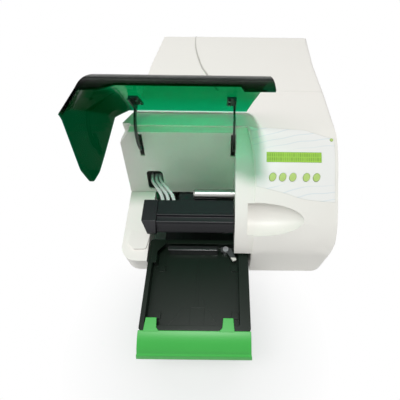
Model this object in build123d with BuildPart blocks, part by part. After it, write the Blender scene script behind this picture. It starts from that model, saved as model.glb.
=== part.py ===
from build123d import *
import os

os.makedirs("parts", exist_ok=True)

# Microplate washer. +X is the user's right, +Y the back, +Z up, origin on the table under the
# middle of the whole instrument. It is modelled with the lid open and the plate carrier out.

# Fits
face_gap = 0.3
moving_gap = 0.5
running_gap = 0.05

# Housing
wall = 3.0
foot_height = 4.0
housing_left = -168.0
housing_right = 170.5
housing_front = -142.5
housing_rear = 279.0
housing_top = 170.0
seam_y = 113.5
ledge_rear_y = 58.0
seat_rear_y = 30.5
corner_round = 24.0
deck_corner_round = 26.0
top_edge_round = 7.0
bay_wall_x = 15.0
pan_top = 6.0
pan_front = -135.5
sill_front = -141.5
sill_top = 13.0

# Side outline of the console, as (Y, Z) points from the front strip's foot to the flat top
console_curve = [
    (-135.0, 51.5),
    (-122.0, 77.0),
    (-105.0, 96.0),
    (-72.0, 118.5),
    (-45.0, 135.0),
    (-4.0, 157.0),
    (16.0, 164.0),
    (57.0, housing_top),
]

# Strip beside the bay that the lid closes on, as (X, Y) points of its right edge
seat_depth = 3.5
strip_edge = [(32.3, seat_rear_y), (38.8, 1.2), (43.5, -40.0), (44.4, -80.0), (43.6, -116.0), (42.5, -146.0)]
scoop_centre = (44.0, -101.0, 106.0)
scoop_reach = 77.0
scoop_round = 27.0
notch_left = 34.0

# Bay, its deck and the channel that the plate carrier runs in
deck_front_z = 43.0
deck_rear_z = 50.0
pad_z = 48.0
pad_outline = [(-156.5, -89.8), (-123.6, -98.6), (-127.5, -123.4), (-147.1, -124.6), (-158.7, -113.5)]
back_wall_foot = (-15.0, 51.5)
back_wall_top = (21.0, 163.5)
ledge_z = 169.0
corner_cut_spot = (-158.5, 156.5)
corner_cut_angle = 50.0
corner_cut_rear = 3.5
channel_left = -124.5
channel_right = 42.0
channel_top = 51.5
hole_left = -135.0
hole_right = -107.0
hole_bottom = 56.0
hole_top = 94.0

# Lid, as (Y, Z) points of its outline when closed
lid_wall = 2.8
lid_open_angle = 82.5
hinge_y = 46.5
hinge_z = 156.0
lid_side_x = -173.0
fold_rear = (-155.0, 29.0)
fold_front = (-140.0, -142.0)
lid_edge_gap = 1.2
lid_front_z = 46.5
lid_rear_y = 29.0
lid_curve = [(-141.0, 38.0), (-139.5, 52.0), (-125.5, 78.0), (-107.5, 98.5), (-74.0, 121.5), (-26.0, 149.5)]
lid_curve += [(-5.0, 160.0), (29.0, 170.5), (60.0, 173.0)]
lid_side_curve = [(-104.5, 38.0), (-102.5, 52.0), (-77.0, 79.0), (-42.0, 105.5), (-15.0, 126.0), (17.0, 148.0)]
lid_side_curve += [(60.0, 166.0)]
cutout_foot = (-120.0, 13.0)
cutout_head = (-108.0, 10.0)
cutout_z = 54.5
foot_width = 13.0

# Hinge arms
arm_plate = 3.0
arm_left_x = -135.5
arm_right_x = 11.5
arm_inner_radius = 37.0
arm_width = 7.0
hinge_pin_radius = 3.0
hub_radius = 7.0
slot_width = 7.0

# Plate carrier
carrier_left = -122.0
carrier_right = 38.0
carrier_front = -246.0
carrier_rear = -106.0
carrier_bottom = 25.0
carrier_floor = 3.0
carrier_top = 45.0
carrier_travel = 136.0
end_rim = 7.0
plate_centre_y = -185.75
plate_rest = 3.0
plate_corners = [(-100.0, -222.5), (16.0, -222.5), (-100.0, -149.0), (16.0, -149.0)]
front_wall = 3.0
front_curve = [(-246.0, 46.5), (-254.0, 45.5), (-263.0, 42.0), (-271.5, 36.0), (-277.5, 28.0), (-280.5, 21.0)]
front_tabs = ((-113.0, -99.0), (-1.5, 13.0))
tab_end_y = -228.7
tab_thick = 2.0
stop_centre_y = -121.5
stop_length = 81.0
stop_depth = 8.5
stop_top = 47.0
clamp_z = 35.0
clamp_thick = 5.0
clamp_post_radius = 2.5
left_rim = 7.0
right_rim = 15.5
lip_y = -278.5
lip_spread = 2.0
front_bottom = 18.0
rod_left_x = -92.0
rod_right_x = 10.0
rod_radius = 4.0
rod_z = 14.0
slide_plate = 4.5
slide_front = -126.0
slide_rear = -10.0
rod_front = -135.0
rod_rear = 153.0
tab_top = 44.0
clamp_spacing = 12.5
clamp_pivot_x = 2.0
clamp_pivot_y = -120.0

# Belt drive of the carrier
belt_x = -42.0
belt_bottom = 10.0
belt_height = 6.0
belt_thick = 1.5
pulley_radius = 8.0
shaft_radius = 2.5
idler_y = -112.0
motor_y = 160.0
motor_size = 42.0
motor_height = 34.0
bracket_plate = 3.0
bracket_top = 25.0

# Wash head
channels = 12
well_pitch = 9.0
plate_centre_x = -42.0
needle_row_y = -88.0
needle_row_gap = 4.6
head_left = -106.0
head_right = 13.5
head_top = 99.0
head_bottom = 78.0
head_rear_y = -72.0
lift_travel = 25.0
arm_y = -45.5
arm_z = 92.0
arm_radius = 8.0
arm_tip_x = -52.0
cap_length = 22.0
needle_radius = 0.9
needle_bottom = 58.0
needle_seat = 6.0
tube_radius = 2.75
fitting_first_x = -100.0
fitting_pitch = 9.0
fitting_count = 3
fitting_radius = 4.0
fitting_length = 7.0
fitting_z = 90.0
tube_pitch = 7.2
tube_start_z = 72.0
tube_straight = 26.0
tube_lead = 18.0
tube_bend = 14.0

# Lift inside the console
lift_x = 84.0
lift_screw_y = -33.0
lift_rod_spacing = 16.0
lift_rod_radius = 4.0
lift_base_z = 48.0
lift_top_z = 118.0
lift_plate = 4.0
carriage_left = 46.0
carriage_right = 97.0
carriage_bottom = 80.0
carriage_top = 104.0
frame_back_x = 109.0

# Keys and display, as places along the console's slope
panel_skin = 0.6
display_x = 103.5
display_y = -16.0
display_width = 84.0
display_height = 16.0
key_y = -42.5
key_first_x = 71.0
key_pitch = 15.3
key_group_gap = 20.7
key_travel = 1.0
key_wide = 10.0
key_long = 13.0
key_slant = -22.0
key_proud = 0.9
key_flange = 1.3
key_board_depth = 11.0
light_place = (161.8, 10.5)
light_radius = 2.5
overlay_outline = [(46.8, -54.6), (67.2, -58.6), (82.4, -61.7), (97.5, -65.4), (112.7, -69.8), (127.9, -72.2)]
overlay_outline += [(166.0, -74.7), (166.0, 12.0), (120.0, 25.0), (36.0, 30.0), (39.5, 16.8), (45.0, -20.0)]

# Rear wall and its step
step_depth = 2.5
step_edge = [(-58.0, 290.0), (-58.8, 256.0), (-55.5, 229.0), (-48.3, 198.0), (-42.0, 177.0), (-34.0, 160.0)]
step_edge += [(-24.0, 140.0), (-10.0, 110.0)]
inlet_x = 120.0
inlet_z = 38.0
inlet_width = 27.0
inlet_height = 20.0
switch_x = 88.0
switch_width = 13.0
switch_height = 19.0
switch_tilt = 8.0
rocker_depth = 5.0
rocker_hub = 4.5
rear_screws = [(-105.0, 25.0), (145.0, 25.0), (-105.0, 150.0), (145.0, 150.0)]
port_places = (-70.0, -48.0, -26.0, -4.0)
port_z = 38.0
port_radius = 5.0
port_proud = 4.0

# Feet, screws and circuit boards
foot_radius = 9.0
screw_head_radius = 3.4
screw_radius = 1.6
board_thick = 1.6
board_z = 14.0


def plan_outline(inset):
    """Plan outline of the whole housing, shrunk by inset."""
    with BuildSketch() as plan:
        with BuildLine():
            Polyline(
                (housing_left, housing_front),
                (housing_right, housing_front),
                (housing_right, 15.0),
                (168.5, 60.0),
                (166.0, seam_y),
                (160.0, 190.0),
                (159.5, housing_rear),
                (-123.5, housing_rear),
                (-138.0, 185.0),
                (-143.0, seam_y),
                (-149.0, ledge_rear_y),
                (housing_left, 22.0),
                close=True,
            )
        make_face()
        fillet(plan.vertices().sort_by_distance((housing_right, housing_front))[0], corner_round)
        fillet(plan.vertices().sort_by_distance((housing_left, housing_front))[0], deck_corner_round)
        if inset:
            offset(amount=-inset, kind=Kind.INTERSECTION)
    return plan.sketch


def inset_points(points, inset):
    """The points of an open (Y, Z) outline, each moved inward by inset."""
    moved = []
    for i, (y, z) in enumerate(points):
        before = points[max(i - 1, 0)]
        after = points[min(i + 1, len(points) - 1)]
        run = Vector(after[0] - before[0], after[1] - before[1]).normalized()
        moved.append((y + inset * run.Y, z - inset * run.X))
    return moved


def console_side(inset, low_z):
    """Side outline of the console and its flat top, shrunk by inset, on a plane left of the housing."""
    top_z = housing_top - inset
    points = inset_points(console_curve, inset)[:-1] + [(console_curve[-1][0], top_z)]
    with BuildSketch(Plane.YZ.offset(-200.0)) as side:
        with BuildLine():
            slope = Spline(points, tangents=[(0.3, 1.0), (1.0, 0.0)])
            Polyline(slope @ 1, (350.0, top_z), (350.0, low_z), (housing_front + inset, low_z), slope @ 0)
        make_face()
    return side.sketch


def slope_plane(at_x, at_y):
    """Plane on the console's slope at a plan place, with X to the right and Z out of the surface."""
    with BuildLine(Plane.YZ) as line:
        Spline(console_curve, tangents=[(0.3, 1.0), (1.0, 0.0)])
    slope = line.edges()[0]
    low = 0.0
    high = 1.0
    for _ in range(40):
        middle = (low + high) / 2
        if (slope @ middle).Y < at_y:
            low = middle
        else:
            high = middle
    spot = slope @ low
    run = slope % low
    return Plane(origin=(at_x, spot.Y, spot.Z), x_dir=(1, 0, 0), z_dir=(0, -run.Z, run.Y))


def housing_block(inset, low_z):
    """Solid of console, bridge and rear, with the bay and the carrier's channel taken out."""
    with BuildPart() as block:
        with BuildSketch(Plane.XY.offset(low_z)):
            add(plan_outline(inset))
        extrude(amount=housing_top - inset - low_z)
        fillet(block.faces().sort_by(Axis.Z)[-1].edges(), top_edge_round - inset)
        extrude(console_side(inset, low_z), amount=400.0, mode=Mode.INTERSECT)
        with BuildSketch(Plane.XY.offset(low_z)):
            with Locations((bay_wall_x + inset, ledge_rear_y - 4 * inset)):
                Rectangle(400.0, 400.0, align=(Align.MAX, Align.MAX))
        extrude(amount=housing_top + 30.0, mode=Mode.SUBTRACT)
        with BuildSketch(Plane.XZ.offset(200.0)):
            with Locations((channel_right + inset, channel_top + inset)):
                Rectangle(channel_right - channel_left + 2 * inset, 400.0, align=(Align.MAX, Align.MAX))
        extrude(amount=-200.0 - ledge_rear_y + 4 * inset, mode=Mode.SUBTRACT)
    return block.part


def seat_tool(depth, grow):
    """Cutter for the sunken strip that the lid closes on."""
    with BuildPart() as tool:
        with BuildSketch():
            with BuildLine():
                edge = Spline([(x + grow, y + (grow if y == seat_rear_y else 0.0)) for x, y in strip_edge])
                Polyline(edge @ 1, (0.0, strip_edge[-1][1]), (0.0, seat_rear_y + grow), edge @ 0)
            make_face()
        extrude(amount=200.0)
        extrude(console_side(depth, -20.0), amount=400.0, mode=Mode.SUBTRACT)
    return tool.part


def scoop_tool(grow):
    """Cutter for the finger scoop beside the lid's right edge."""
    with BuildPart() as tool:
        with BuildSketch(Plane(scoop_centre)):
            Ellipse(scoop_reach + grow, scoop_round + grow)
            Rectangle(400.0, 400.0, align=(Align.CENTER, Align.MAX), mode=Mode.SUBTRACT)
        revolve(axis=Axis(scoop_centre, (1, 0, 0)))
        with BuildSketch(Plane.YZ.offset(notch_left - grow)):
            Rectangle(800.0, 800.0)
        extrude(amount=-300.0, mode=Mode.SUBTRACT)
    return tool.part


def overlay_skin(gap):
    """Thin skin on the console's slope inside the overlay's outline, with gap all round it."""
    with BuildPart() as skin:
        with BuildSketch():
            with BuildLine():
                Polyline(overlay_outline, close=True)
            make_face()
            if gap:
                offset(amount=-gap, kind=Kind.INTERSECTION)
        extrude(amount=200.0)
        extrude(console_side(panel_skin, -20.0), amount=400.0, mode=Mode.SUBTRACT)
        extrude(console_side(0.0, -20.0), amount=400.0, mode=Mode.INTERSECT)
    return skin.part


def span(left, right, front, rear, bottom, top, mode=Mode.ADD):
    """Box between two limits each way."""
    with Locations(((left + right) / 2, (front + rear) / 2, (bottom + top) / 2)):
        Box(right - left, rear - front, top - bottom, mode=mode)


# Console cover
housing_outer = housing_block(0.0, foot_height)
housing_core = housing_block(wall, foot_height - 20.0)

with BuildPart() as console_hollow:
    add(housing_core)
    add(seat_tool(seat_depth + wall, wall), mode=Mode.SUBTRACT)
    add(scoop_tool(wall), mode=Mode.SUBTRACT)

key_plane = slope_plane(0.0, key_y)
display_plane = slope_plane(display_x, display_y)
light_plane = slope_plane(light_place[0], light_place[1])
key_places = [key_first_x + key_pitch * i + (key_group_gap - key_pitch) * (i > 2) for i in range(5)]
board_posts = [(key_places[0] - 10.0, 0.0), (key_places[-1] + 10.0, 0.0)]

# Room for the pan under the two walls of the carrier's channel
with BuildPart() as pan_clearance:
    span(
        channel_left - wall - 1.0,
        channel_right + wall + 1.0,
        pan_front - face_gap,
        seam_y + 10.0,
        foot_height - 10.0,
        pan_top + face_gap,
    )

with BuildPart() as console_cover:
    add(housing_outer)
    span(-400.0, 400.0, seam_y, 400.0, -50.0, 400.0, mode=Mode.SUBTRACT)
    add(seat_tool(seat_depth, 0.0), mode=Mode.SUBTRACT)
    add(scoop_tool(0.0), mode=Mode.SUBTRACT)
    add(console_hollow.part, mode=Mode.SUBTRACT)
    with BuildSketch(key_plane.offset(1.0 - wall)):
        with Locations(*board_posts):
            Circle(3.0)
    extrude(amount=-(key_board_depth + 1.0 - wall))
    with BuildSketch(key_plane):
        with Locations(*[(x, 0.0) for x in key_places]):
            Ellipse(key_wide / 2 + moving_gap, key_long / 2 + moving_gap, rotation=key_slant)
    extrude(amount=10.0, mode=Mode.SUBTRACT)
    with BuildSketch(key_plane):
        with Locations(*[(x, 0.0) for x in key_places]):
            Ellipse(key_wide / 2 + moving_gap, key_long / 2 + moving_gap, rotation=key_slant)
    extrude(amount=-wall - 2.0, mode=Mode.SUBTRACT)
    with BuildSketch(display_plane.offset(5.0)):
        Rectangle(display_width, display_height)
    extrude(amount=-wall - 10.0, mode=Mode.SUBTRACT)
    with BuildSketch(light_plane.offset(5.0)):
        Circle(light_radius + face_gap)
    extrude(amount=-wall - 10.0, mode=Mode.SUBTRACT)
    with BuildSketch(Plane.YZ.offset(bay_wall_x - 5.0)):
        with Locations((arm_y, arm_z - lift_travel / 2)):
            SlotCenterToCenter(lift_travel, 2 * arm_radius + 2 * moving_gap, rotation=90)
    extrude(amount=wall + 10.0, mode=Mode.SUBTRACT)
    add(overlay_skin(0.0), mode=Mode.SUBTRACT)
    add(pan_clearance.part, mode=Mode.SUBTRACT)
console_cover.part.label = "console_cover"
export_step(console_cover.part, "parts/console_cover.step")

# Overlay, display and keys
with BuildPart() as keypad_overlay:
    add(overlay_skin(face_gap))
    with BuildSketch(key_plane.offset(-2.0)):
        with Locations(*[(x, 0.0) for x in key_places]):
            Ellipse(key_wide / 2 + moving_gap, key_long / 2 + moving_gap, rotation=key_slant)
    extrude(amount=5.0, mode=Mode.SUBTRACT)
    with BuildSketch(display_plane.offset(-2.0)):
        Rectangle(display_width, display_height)
    extrude(amount=5.0, mode=Mode.SUBTRACT)
    with BuildSketch(light_plane.offset(-2.0)):
        Circle(light_radius + face_gap)
    extrude(amount=5.0, mode=Mode.SUBTRACT)
keypad_overlay.part.label = "keypad_overlay"
export_step(keypad_overlay.part, "parts/keypad_overlay.step")

with BuildPart() as display_window:
    with BuildSketch(display_plane.offset(-0.3)):
        Rectangle(display_width - 2 * face_gap, display_height - 2 * face_gap)
    extrude(amount=-wall)
display_window.part.label = "display_window"
export_step(display_window.part, "parts/display_window.step")

with BuildPart() as display_module:
    with BuildSketch(display_plane.offset(-wall - 2 * face_gap)):
        Rectangle(display_width + 12.0, display_height + 8.0)
    extrude(amount=-6.0)
    with BuildSketch(display_plane.offset(-wall - 2 * face_gap - 6.0)):
        Rectangle(display_width + 20.0, display_height + 9.0)
    extrude(amount=-board_thick)
display_module.part.label = "display_module"
export_step(display_module.part, "parts/display_module.step")

with BuildPart() as status_light:
    with BuildSketch(light_plane.offset(-wall)):
        Circle(light_radius)
    extrude(amount=wall + 0.5)
    with BuildSketch(light_plane.offset(-wall - 0.2)):
        Circle(light_radius + 1.2)
    extrude(amount=-1.5)
    with BuildSketch(light_plane.offset(-wall - 0.3)):
        Circle(light_radius)
    extrude(amount=1.0)
status_light.part.label = "status_light"
export_step(status_light.part, "parts/status_light.step")

with BuildPart() as key_board:
    with BuildSketch(key_plane.offset(-key_board_depth)):
        with Locations(((key_places[0] + key_places[-1]) / 2, 0.0)):
            Rectangle(key_places[-1] - key_places[0] + 28.0, 16.0)
    extrude(amount=-board_thick)
    with BuildSketch(key_plane.offset(-key_board_depth)):
        with Locations(*[(x, 0.0) for x in key_places]):
            Rectangle(6.0, 6.0)
    extrude(amount=2.6)
key_board.part.label = "key_board"
export_step(key_board.part, "parts/key_board.step")

for number, key_x in enumerate(key_places, start=1):
    with BuildPart() as key:
        with BuildSketch(key_plane.offset(-wall - face_gap - key_flange)):
            with Locations((key_x, 0.0)):
                Ellipse(key_wide / 2, key_long / 2, rotation=key_slant)
        extrude(amount=wall + face_gap + key_flange + key_proud)
        fillet(key.faces().sort_by(Axis(key_plane.origin, key_plane.z_dir))[-1].edges(), 0.7)
        with BuildSketch(key_plane.offset(-wall - face_gap - key_flange)):
            with Locations((key_x, 0.0)):
                Ellipse(key_wide / 2 + 1.5, key_long / 2 + 1.0, rotation=key_slant)
        extrude(amount=key_flange)
        with BuildSketch(key_plane.offset(-wall - face_gap - key_flange)):
            with Locations((key_x, 0.0)):
                Circle(1.6)
        extrude(amount=-(key_board_depth - 2.6 - key_travel - face_gap - wall - face_gap - key_flange))
    key.part.label = f"key_{number}"
    export_step(key.part, f"parts/key_{number}.step")

# Bay cover: deck, back wall and ledge in one moulding
bay_right = bay_wall_x - face_gap
bay_rear = ledge_rear_y - face_gap
seat_front_z = back_wall_top[1]
seat_rear_z = seat_front_z + 3.2
wall_lean = (back_wall_top[0] - back_wall_foot[0]) / (back_wall_top[1] - back_wall_foot[1])


def bay_sides(inset, rear_y, low_z):
    """Side outlines of the deck and of the back wall with its ledge, shrunk by inset."""
    with BuildSketch(Plane.YZ.offset(housing_left - 5.0)) as deck:
        with BuildLine():
            Polyline(
                (housing_front, low_z),
                (housing_front, deck_front_z),
                (back_wall_foot[0], deck_rear_z),
                (rear_y, deck_rear_z + 2.0),
                (rear_y, low_z),
                close=True,
            )
        make_face()
        if inset:
            offset(amount=-inset, kind=Kind.INTERSECTION)
    foot_z = min(low_z, back_wall_foot[1]) if inset else back_wall_foot[1]
    with BuildSketch(Plane.YZ.offset(housing_left - 5.0)) as wall_side:
        with BuildLine():
            Polyline(
                (back_wall_foot[0] + (foot_z - back_wall_foot[1]) * wall_lean, foot_z),
                back_wall_top,
                (seat_rear_y, seat_rear_z),
                (seat_rear_y, ledge_z),
                (rear_y, ledge_z),
                (rear_y, foot_z),
                close=True,
            )
        make_face()
        if inset:
            offset(amount=-inset, kind=Kind.INTERSECTION)
    return deck.sketch, wall_side.sketch


# Slanted corner of the back wall, which the closed lid's folded side comes down over
corner_run = Vector(1, 0, 0).rotate(Axis.Y, -corner_cut_angle)
corner_plane = Plane(
    origin=(corner_cut_spot[0], seat_rear_y + corner_cut_rear, corner_cut_spot[1]),
    x_dir=corner_run,
    z_dir=corner_run.cross(Vector(0, 1, 0)),
)


def bay_solid(inset, rear_y, low_z, right_x):
    """Solid of the bay moulding, shrunk by inset."""
    deck, wall_side = bay_sides(inset, rear_y, low_z)
    with BuildPart() as solid:
        extrude(deck, amount=channel_left - inset - housing_left + 5.0)
        extrude(wall_side, amount=right_x - housing_left + 5.0)
        with BuildSketch(Plane.XY.offset(low_z)):
            add(plan_outline(inset))
        extrude(amount=housing_top + 60.0, mode=Mode.INTERSECT)
        with BuildSketch(corner_plane.offset(-inset)):
            with Locations((0.0, inset)):
                Rectangle(90.0, 300.0, align=(Align.CENTER, Align.MAX))
        extrude(amount=90.0, mode=Mode.SUBTRACT)
    return solid.part


with BuildPart() as bay_cover:
    add(bay_solid(0.0, bay_rear, foot_height, bay_right))
    add(bay_solid(wall, bay_rear + 40.0, foot_height - 30.0, bay_right + 20.0), mode=Mode.SUBTRACT)
    with BuildSketch(Plane.XY.offset(deck_front_z - 2.0)) as pad:
        with BuildLine():
            Polyline(pad_outline, close=True)
        make_face()
        fillet(pad.vertices(), 4.0)
    extrude(amount=pad_z - deck_front_z + 2.0)
    with BuildSketch(Plane.XZ.offset(20.0)):
        with Locations(((hole_left + hole_right) / 2, (hole_bottom + hole_top) / 2)):
            RectangleRounded(hole_right - hole_left, hole_top - hole_bottom, 6.0)
    extrude(amount=-50.0, mode=Mode.SUBTRACT)
    span(arm_left_x - slot_width / 2, arm_left_x + slot_width / 2, -10.0, 26.0, 122.0, 160.0, mode=Mode.SUBTRACT)
    span(arm_right_x - slot_width / 2, bay_wall_x, -10.0, 26.0, 122.0, 160.0, mode=Mode.SUBTRACT)
    add(pan_clearance.part, mode=Mode.SUBTRACT)
bay_cover.part.label = "bay_cover"
export_step(bay_cover.part, "parts/bay_cover.step")

# Rear cover, with the S-shaped step across its top
with BuildPart() as cover_screws:
    with BuildSketch(Plane.XZ.offset(-housing_rear)):
        with Locations(*rear_screws):
            Circle(screw_head_radius)
    extrude(amount=1.6)
    with BuildSketch(Plane.XZ.offset(-housing_rear)):
        with Locations(*rear_screws):
            Circle(screw_radius)
    extrude(amount=9.0)
cover_screws.part.label = "cover_screws"
export_step(cover_screws.part, "parts/cover_screws.step")

with BuildPart() as rear_hollow:
    add(housing_core)
    span(-400.0, 400.0, -400.0, 400.0, housing_top - step_depth - wall, 400.0, mode=Mode.SUBTRACT)

with BuildPart() as rear_cover:
    add(housing_outer)
    span(-400.0, 400.0, -400.0, seam_y + face_gap, -50.0, 400.0, mode=Mode.SUBTRACT)
    with BuildSketch(Plane.XY.offset(housing_top - step_depth)):
        with BuildLine():
            sweep_line = Spline(step_edge)
            Polyline(sweep_line @ 1, (-300.0, step_edge[-1][1]), (-300.0, step_edge[0][1]), sweep_line @ 0)
        make_face()
    extrude(amount=20.0, mode=Mode.SUBTRACT)
    add(rear_hollow.part, mode=Mode.SUBTRACT)
    with BuildSketch(Plane.XZ.offset(wall / 2 - housing_rear)):
        with Locations(*rear_screws):
            Circle(5.5)
    extrude(amount=10.0)
    add(cover_screws.part, mode=Mode.SUBTRACT)
    with Locations((inlet_x, housing_rear, inlet_z)):
        Box(inlet_width, 20.0, inlet_height, mode=Mode.SUBTRACT)
    with Locations((switch_x, housing_rear, inlet_z)):
        Box(switch_width, 20.0, switch_height, mode=Mode.SUBTRACT)
    with BuildSketch(Plane.XZ.offset(-housing_rear)):
        with Locations(*[(x, port_z) for x in port_places]):
            Circle(port_radius + face_gap)
    extrude(amount=wall + 5.0, mode=Mode.SUBTRACT)
rear_cover.part.label = "rear_cover"
export_step(rear_cover.part, "parts/rear_cover.step")

# Base pan and its feet
with BuildPart() as base_pan:
    with BuildSketch(Plane.XY.offset(foot_height)):
        add(plan_outline(wall + face_gap))
        with Locations((0.0, pan_front)):
            Rectangle(500.0, 100.0, align=(Align.CENTER, Align.MAX), mode=Mode.SUBTRACT)
        with Locations(((channel_left + channel_right) / 2, sill_front)):
            Rectangle(
                channel_right - channel_left - 2 * face_gap,
                pan_front - sill_front + 1.0,
                align=(Align.CENTER, Align.MIN),
            )
    extrude(amount=pan_top - foot_height)
    span(channel_left + face_gap, channel_right - face_gap, sill_front, sill_front + 2.0, foot_height, sill_top)
base_pan.part.label = "base_pan"
export_step(base_pan.part, "parts/base_pan.step")

with BuildPart() as rubber_feet:
    with BuildSketch():
        with Locations((-140.0, -110.0), (140.0, -110.0), (-100.0, 250.0), (135.0, 250.0)):
            Circle(foot_radius)
    extrude(amount=foot_height)
rubber_feet.part.label = "rubber_feet"
export_step(rubber_feet.part, "parts/rubber_feet.step")

# Lid, made closed and then swung open about its hinge line
hinge_axis = Axis((0.0, hinge_y, hinge_z), (1, 0, 0))
fold_run = Vector(fold_rear[0] - fold_front[0], fold_rear[1] - fold_front[1], 0.0).normalized()


def lid_section(plane, points, stretch, floor_z):
    """Face under one lid outline, whose Y runs along the plane's own X from the fold's front end."""
    local = [((y - fold_front[1]) * stretch, z) for y, z in points]
    with BuildSketch(plane) as section:
        with BuildLine():
            top = Spline(local)
            Polyline(top @ 1, (local[-1][0], floor_z), (local[0][0], floor_z), top @ 0)
        make_face()
    return section.sketch


def lid_solid(inset):
    """Solid under the lid's skin, shrunk by inset: a straight part, and a folded part on the left."""
    top = inset_points(lid_curve, inset)
    side = inset_points(lid_side_curve, inset)
    floor_z = lid_curve[0][1] - 30.0
    right = lid_section(Plane((60.0, fold_front[1], 0.0), (0, 1, 0), (1, 0, 0)), top, 1.0, floor_z)
    fold_plane = Plane((fold_front[0] + inset / 2, fold_front[1], 0.0), fold_run, fold_run.cross(Vector(0, 0, 1)))
    fold = lid_section(fold_plane, top, 1.0 / fold_run.Y, floor_z)
    left = lid_section(Plane((lid_side_x + inset, fold_front[1], 0.0), (0, 1, 0), (1, 0, 0)), side, 1.0, floor_z)
    with BuildPart() as solid:
        loft([right, fold], ruled=True)
        loft([fold, left], ruled=True)
    return solid.part


def under_lid(inset):
    """Solid under the straight part of the lid's skin, shrunk by inset."""
    plane = Plane((-200.0, fold_front[1], 0.0), (0, 1, 0), (1, 0, 0))
    with BuildPart() as solid:
        extrude(lid_section(plane, inset_points(lid_curve, inset), 1.0, -30.0), amount=300.0)
    return solid.part


with BuildPart() as lid_closed:
    add(lid_solid(0.0))
    add(lid_solid(lid_wall), mode=Mode.SUBTRACT)
    with BuildSketch(Plane.YZ.offset(lid_side_x - 10.0)) as trim:
        with BuildLine():
            Polyline(
                (-200.0, lid_front_z),
                (-97.0, lid_front_z),
                (-37.0, 20.5),
                (-4.0, 20.5),
                (8.5, 44.5),
                (13.3, 74.4),
                (22.6, 149.1),
                (lid_rear_y, 166.0),
                (lid_rear_y, 220.0),
                (-200.0, 220.0),
                close=True,
            )
        make_face()
        fillet(trim.vertices().sort_by_distance((-37.0, 20.5))[0], 20.0)
        fillet(trim.vertices().sort_by_distance((-4.0, 20.5))[0], 14.0)
        fillet(trim.vertices().sort_by_distance((8.5, 44.5))[0], 20.0)
        fillet(trim.vertices().sort_by_distance((-97.0, lid_front_z))[0], 14.0)
    extrude(amount=300.0, mode=Mode.INTERSECT)
    with BuildSketch():
        with BuildLine():
            edge = Spline([(x - lid_edge_gap, y) for x, y in strip_edge])
            Polyline(edge @ 1, (200.0, -146.0), (200.0, 40.0), edge @ 0)
        make_face()
    extrude(amount=300.0, mode=Mode.SUBTRACT)
    with BuildSketch(Plane.XZ.offset(100.0)):
        with BuildLine():
            Polyline(
                (cutout_foot[0], lid_front_z - 20.0),
                (cutout_foot[0], lid_front_z),
                (cutout_head[0], cutout_z),
                (cutout_head[1], cutout_z),
                (cutout_foot[1], lid_front_z),
                (cutout_foot[1], lid_front_z - 20.0),
                close=True,
            )
        make_face()
    extrude(amount=80.0, mode=Mode.SUBTRACT)


with BuildPart() as lid_screws_closed:
    for screw_x in (arm_left_x + 8.0, arm_right_x - 8.0):
        for screw_y in (-18.0, -2.0):
            with BuildSketch(Plane((screw_x, screw_y, 120.0))):
                Circle(screw_radius)
            extrude(amount=60.0)
    add(under_lid(lid_wall - 1.2), mode=Mode.INTERSECT)
    add(under_lid(lid_wall + 6.0), mode=Mode.SUBTRACT)


def arm_solid(left_x, foot_side):
    """Closed hinge arm: curved band, hub and spoke, and the foot screwed under the lid."""
    foot_left = left_x if foot_side > 0 else left_x + arm_plate - foot_width
    with BuildPart() as head:
        with BuildSketch(Plane.YZ.offset(left_x)):
            with BuildLine():
                Polyline(
                    (hinge_y - arm_inner_radius, hinge_z - 8.0),
                    (hinge_y - arm_inner_radius - arm_width, hinge_z - 8.0),
                    (-27.0, 138.0),
                    (-27.0, 190.0),
                    (hinge_y - arm_inner_radius, 190.0),
                    close=True,
                )
            make_face()
        extrude(amount=arm_plate)
        add(under_lid(lid_wall + 0.1), mode=Mode.INTERSECT)
    with BuildPart() as foot:
        span(foot_left, foot_left + foot_width, -27.0, 5.0, 120.0, 190.0)
        add(under_lid(lid_wall + 0.1), mode=Mode.INTERSECT)
        add(under_lid(lid_wall + 0.1 + arm_plate), mode=Mode.SUBTRACT)
    with BuildPart() as arm:
        with BuildSketch(Plane.YZ.offset(left_x)):
            with Locations((hinge_y, hinge_z)):
                Circle(arm_inner_radius + arm_width)
                Circle(arm_inner_radius, mode=Mode.SUBTRACT)
            with BuildLine():
                Polyline(
                    (hinge_y, hinge_z),
                    (hinge_y - 100.0, hinge_z),
                    (hinge_y - 100.0, hinge_z + 100.0),
                    (hinge_y + 100.0, hinge_z + 100.0),
                    (hinge_y + 100.0, hinge_z - 100.0),
                    (hinge_y + 65.0, hinge_z - 100.0),
                    close=True,
                )
            make_face(mode=Mode.SUBTRACT)
            with Locations((hinge_y + 11.0, hinge_z - 17.0)):
                Rectangle(40.0, 9.0, rotation=-57.0)
            with Locations((hinge_y, hinge_z)):
                Circle(hub_radius)
                Circle(hinge_pin_radius + running_gap, mode=Mode.SUBTRACT)
        extrude(amount=arm_plate)
        add(head.part)
        add(foot.part)
        add(lid_screws_closed.part, mode=Mode.SUBTRACT)
    return arm.part


def opened(closed):
    """The closed piece swung to the open lid's angle."""
    return closed.rotate(hinge_axis, -lid_open_angle)


with BuildPart() as lid:
    add(opened(lid_closed.part))
    add(opened(lid_screws_closed.part), mode=Mode.SUBTRACT)
lid.part.label = "lid"
export_step(lid.part, "parts/lid.step")

with BuildPart() as lid_screws:
    add(opened(lid_screws_closed.part))
lid_screws.part.label = "lid_screws"
export_step(lid_screws.part, "parts/lid_screws.step")

with BuildPart() as lid_arm_left:
    add(opened(arm_solid(arm_left_x - arm_plate / 2, 1)))
lid_arm_left.part.label = "lid_arm_left"
export_step(lid_arm_left.part, "parts/lid_arm_left.step")

with BuildPart() as lid_arm_right:
    add(opened(arm_solid(arm_right_x - arm_plate / 2, -1)))
lid_arm_right.part.label = "lid_arm_right"
export_step(lid_arm_right.part, "parts/lid_arm_right.step")

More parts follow.
